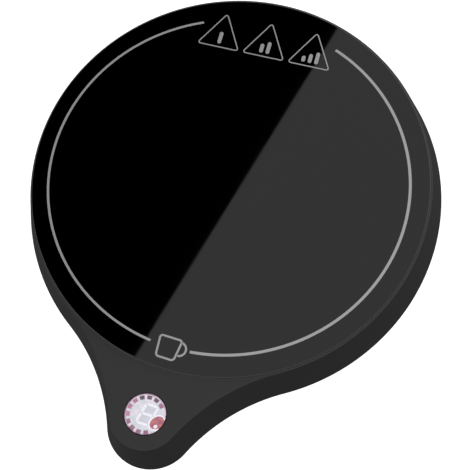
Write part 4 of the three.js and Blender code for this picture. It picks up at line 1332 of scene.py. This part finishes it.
class WARMER_OT_inside(bpy.types.Operator):
    """Gives the pieces inside their finishes"""
    bl_idname = "warmer.inside"
    bl_label = "Inside"

    def execute(self, context):
        finishes = inner_finishes()
        for name, material in finishes.items():
            nodes[name].data.materials.clear()
            nodes[name].data.materials.append(material)
        bare = [name for name, piece in nodes.items() if not piece.hide_render and name not in finishes]
        if bare:
            raise RuntimeError(f"no finish for {bare}")
        return {"FINISHED"}


# Studio. The camera and the edge that the plate reflects are in millimetres, the rest in metres.

CAMERA_PLACE = (83.54, -113.21, 398.94)
CAMERA_RIGHT = (0.94054, 0.32593, -0.09568)
CAMERA_UP = (-0.28159, 0.90565, 0.31702)
CAMERA_LENS = 122.92
CAMERA_NEAR = 10
FLOOR_SIZE = 12.0
SKY = 0.83
SKY_RISE = 0.43
GROUND = 0.1
SIDE_LIGHTS = [("right_light", 34, 12, 2.2), ("left_light", 214, 12, 2.2)]
SIDE_DISTANCE = 1.2
SIDE_SIZE = 0.5
CARD_HEIGHT = 0.8
CARD_SIZE = 2.6
REFLECTED_EDGE = [(13.3, 49.05), (-7.25, -51.08)]


class WARMER_OT_studio(bpy.types.Operator):
    """Builds the floor, the soft light, the black card that the plate reflects, and the camera"""
    bl_idname = "warmer.studio"
    bl_label = "Studio"

    def execute(self, context):
        add_camera()
        add_floor()
        add_card()
        add_sky()
        add_side_lights()
        context.scene.view_settings.view_transform = "Standard"
        return {"FINISHED"}


def add_camera():
    right = Vector(CAMERA_RIGHT).normalized()
    back = right.cross(Vector(CAMERA_UP)).normalized()
    camera = bpy.data.objects.new("camera", bpy.data.cameras.new("camera"))
    bpy.context.scene.collection.objects.link(camera)
    camera.rotation_euler = Matrix((right, back.cross(right), back)).transposed().to_euler()
    camera.location = Vector(CAMERA_PLACE) * MM
    camera.data.lens = CAMERA_LENS
    camera.data.clip_start = CAMERA_NEAR * MM
    bpy.context.scene.camera = camera


def add_floor():
    """A pale floor that gives some light of its own, to stay near white, and is clear from below"""
    bpy.ops.mesh.primitive_plane_add(size=FLOOR_SIZE, location=(0, 0, -HAIR))
    floor = bpy.context.object
    floor.name = "floor"
    material, shader, place = new_material(
        "pale_floor", roughness=0.9, specular_ior_level=0.1, emission_strength=1.0,
        emission_color=(1, 1, 1))
    paper = noise(place, 30 * MM, 2)
    feed(shader, {"Base Color": tint(paper, (0.46, 0.46, 0.46), (0.5, 0.5, 0.5))})
    made = material.node_tree.nodes
    below = made.new("ShaderNodeNewGeometry").outputs["Backfacing"]
    clear = made.new("ShaderNodeBsdfTransparent").outputs["BSDF"]
    one_sided = add_node("MixShader", {0: below, 1: shader.outputs["BSDF"], 2: clear}, "Shader")
    feed(made["Material Output"], {"Surface": one_sided})
    floor.data.materials.append(material)
    floor.visible_diffuse = False
    floor.visible_glossy = False
    floor.visible_shadow = False


def add_card():
    """A black card over the left half, whose straight edge shows in the plate from the camera"""
    eye = Vector(CAMERA_PLACE) * MM
    eye.z = 2 * plate_high.z - eye.z
    ends = []
    for x, y in REFLECTED_EDGE:
        point = Vector((*on_plate(x, y), plate_high.z))
        ends.append(eye + (point - eye) * (CARD_HEIGHT - eye.z) / (point.z - eye.z))
    along = (ends[0] - ends[1]).normalized()
    left = Vector((-along.y, along.x, 0))
    middle = (ends[0] + ends[1]) / 2
    near, far = middle - along * CARD_SIZE, middle + along * CARD_SIZE
    bpy.ops.mesh.primitive_plane_add(size=1)
    card = bpy.context.object
    corners = (near, far, near + left * CARD_SIZE, far + left * CARD_SIZE)
    for vertex, corner in zip(card.data.vertices, corners):
        vertex.co = corner
    card.name = "black_card"
    material = new_material("card_black", base_color=(0, 0, 0), roughness=1.0, specular_ior_level=0.0)[0]
    card.data.materials.append(material)
    card.visible_camera = False
    card.visible_diffuse = False
    card.visible_shadow = False


def add_sky():
    """Soft light from above that fades towards the horizon"""
    world = bpy.data.worlds.new("studio")
    world.use_nodes = True
    made = world.node_tree.nodes
    height = add_node("SeparateXYZ", {0: made.new("ShaderNodeTexCoord").outputs["Generated"]}, "Z")
    feed(made["Background"], {
        "Color": tint(sharpen(height, 0.0, SKY_RISE), (GROUND, GROUND, GROUND), (SKY, SKY, SKY))})
    bpy.context.scene.world = world


def add_side_lights():
    """Large soft lights low on both sides, given by azimuth, elevation and power"""
    for name, azimuth, elevation, power in SIDE_LIGHTS:
        turn = Euler((0, -math.radians(elevation), math.radians(azimuth)))
        place = Vector((SIDE_DISTANCE, 0, 0))
        place.rotate(turn)
        bpy.ops.object.light_add(type="AREA", location=place)
        light = bpy.context.object
        light.name = name
        light.data.size = SIDE_SIZE
        light.data.energy = power
        light.rotation_euler = place.to_track_quat("Z", "Y").to_euler()


# Add-on

OPERATORS = [
    WARMER_OT_studio, WARMER_OT_plate, WARMER_OT_housing, WARMER_OT_tray, WARMER_OT_feet,
    WARMER_OT_screws, WARMER_OT_grommet, WARMER_OT_button, WARMER_OT_inside,
]


class WARMER_PT_panel(bpy.types.Panel):
    """Lists the sizes, colours and steps"""
    bl_idname = "WARMER_PT_panel"
    bl_label = "Mug Warmer"
    bl_space_type = "VIEW_3D"
    bl_region_type = "UI"
    bl_category = "Mug Warmer"

    def draw(self, context):
        column = self.layout.column()
        for group in (context.scene.warmer_sizes, context.scene.warmer_colours):
            for name in group.bl_rna.properties.keys():
                if name not in ("rna_type", "name"):
                    column.prop(group, name)
        for operator in OPERATORS:
            column.operator(operator.bl_idname)


CLASSES = [WarmerSizes, WarmerColours, *OPERATORS, WARMER_PT_panel]


def register():
    for item in CLASSES:
        bpy.utils.register_class(item)
    bpy.types.Scene.warmer_sizes = bpy.props.PointerProperty(type=WarmerSizes)
    bpy.types.Scene.warmer_colours = bpy.props.PointerProperty(type=WarmerColours)


def unregister():
    del bpy.types.Scene.warmer_colours
    del bpy.types.Scene.warmer_sizes
    for item in reversed(CLASSES):
        bpy.utils.unregister_class(item)


def main():
    register()
    bpy.ops.warmer.studio()
    bpy.ops.warmer.plate()
    bpy.ops.warmer.housing()
    bpy.ops.warmer.tray()
    bpy.ops.warmer.feet()
    bpy.ops.warmer.screws()
    bpy.ops.warmer.grommet()
    bpy.ops.warmer.button()
    bpy.ops.warmer.inside()


if __name__ == "__main__":
    main()
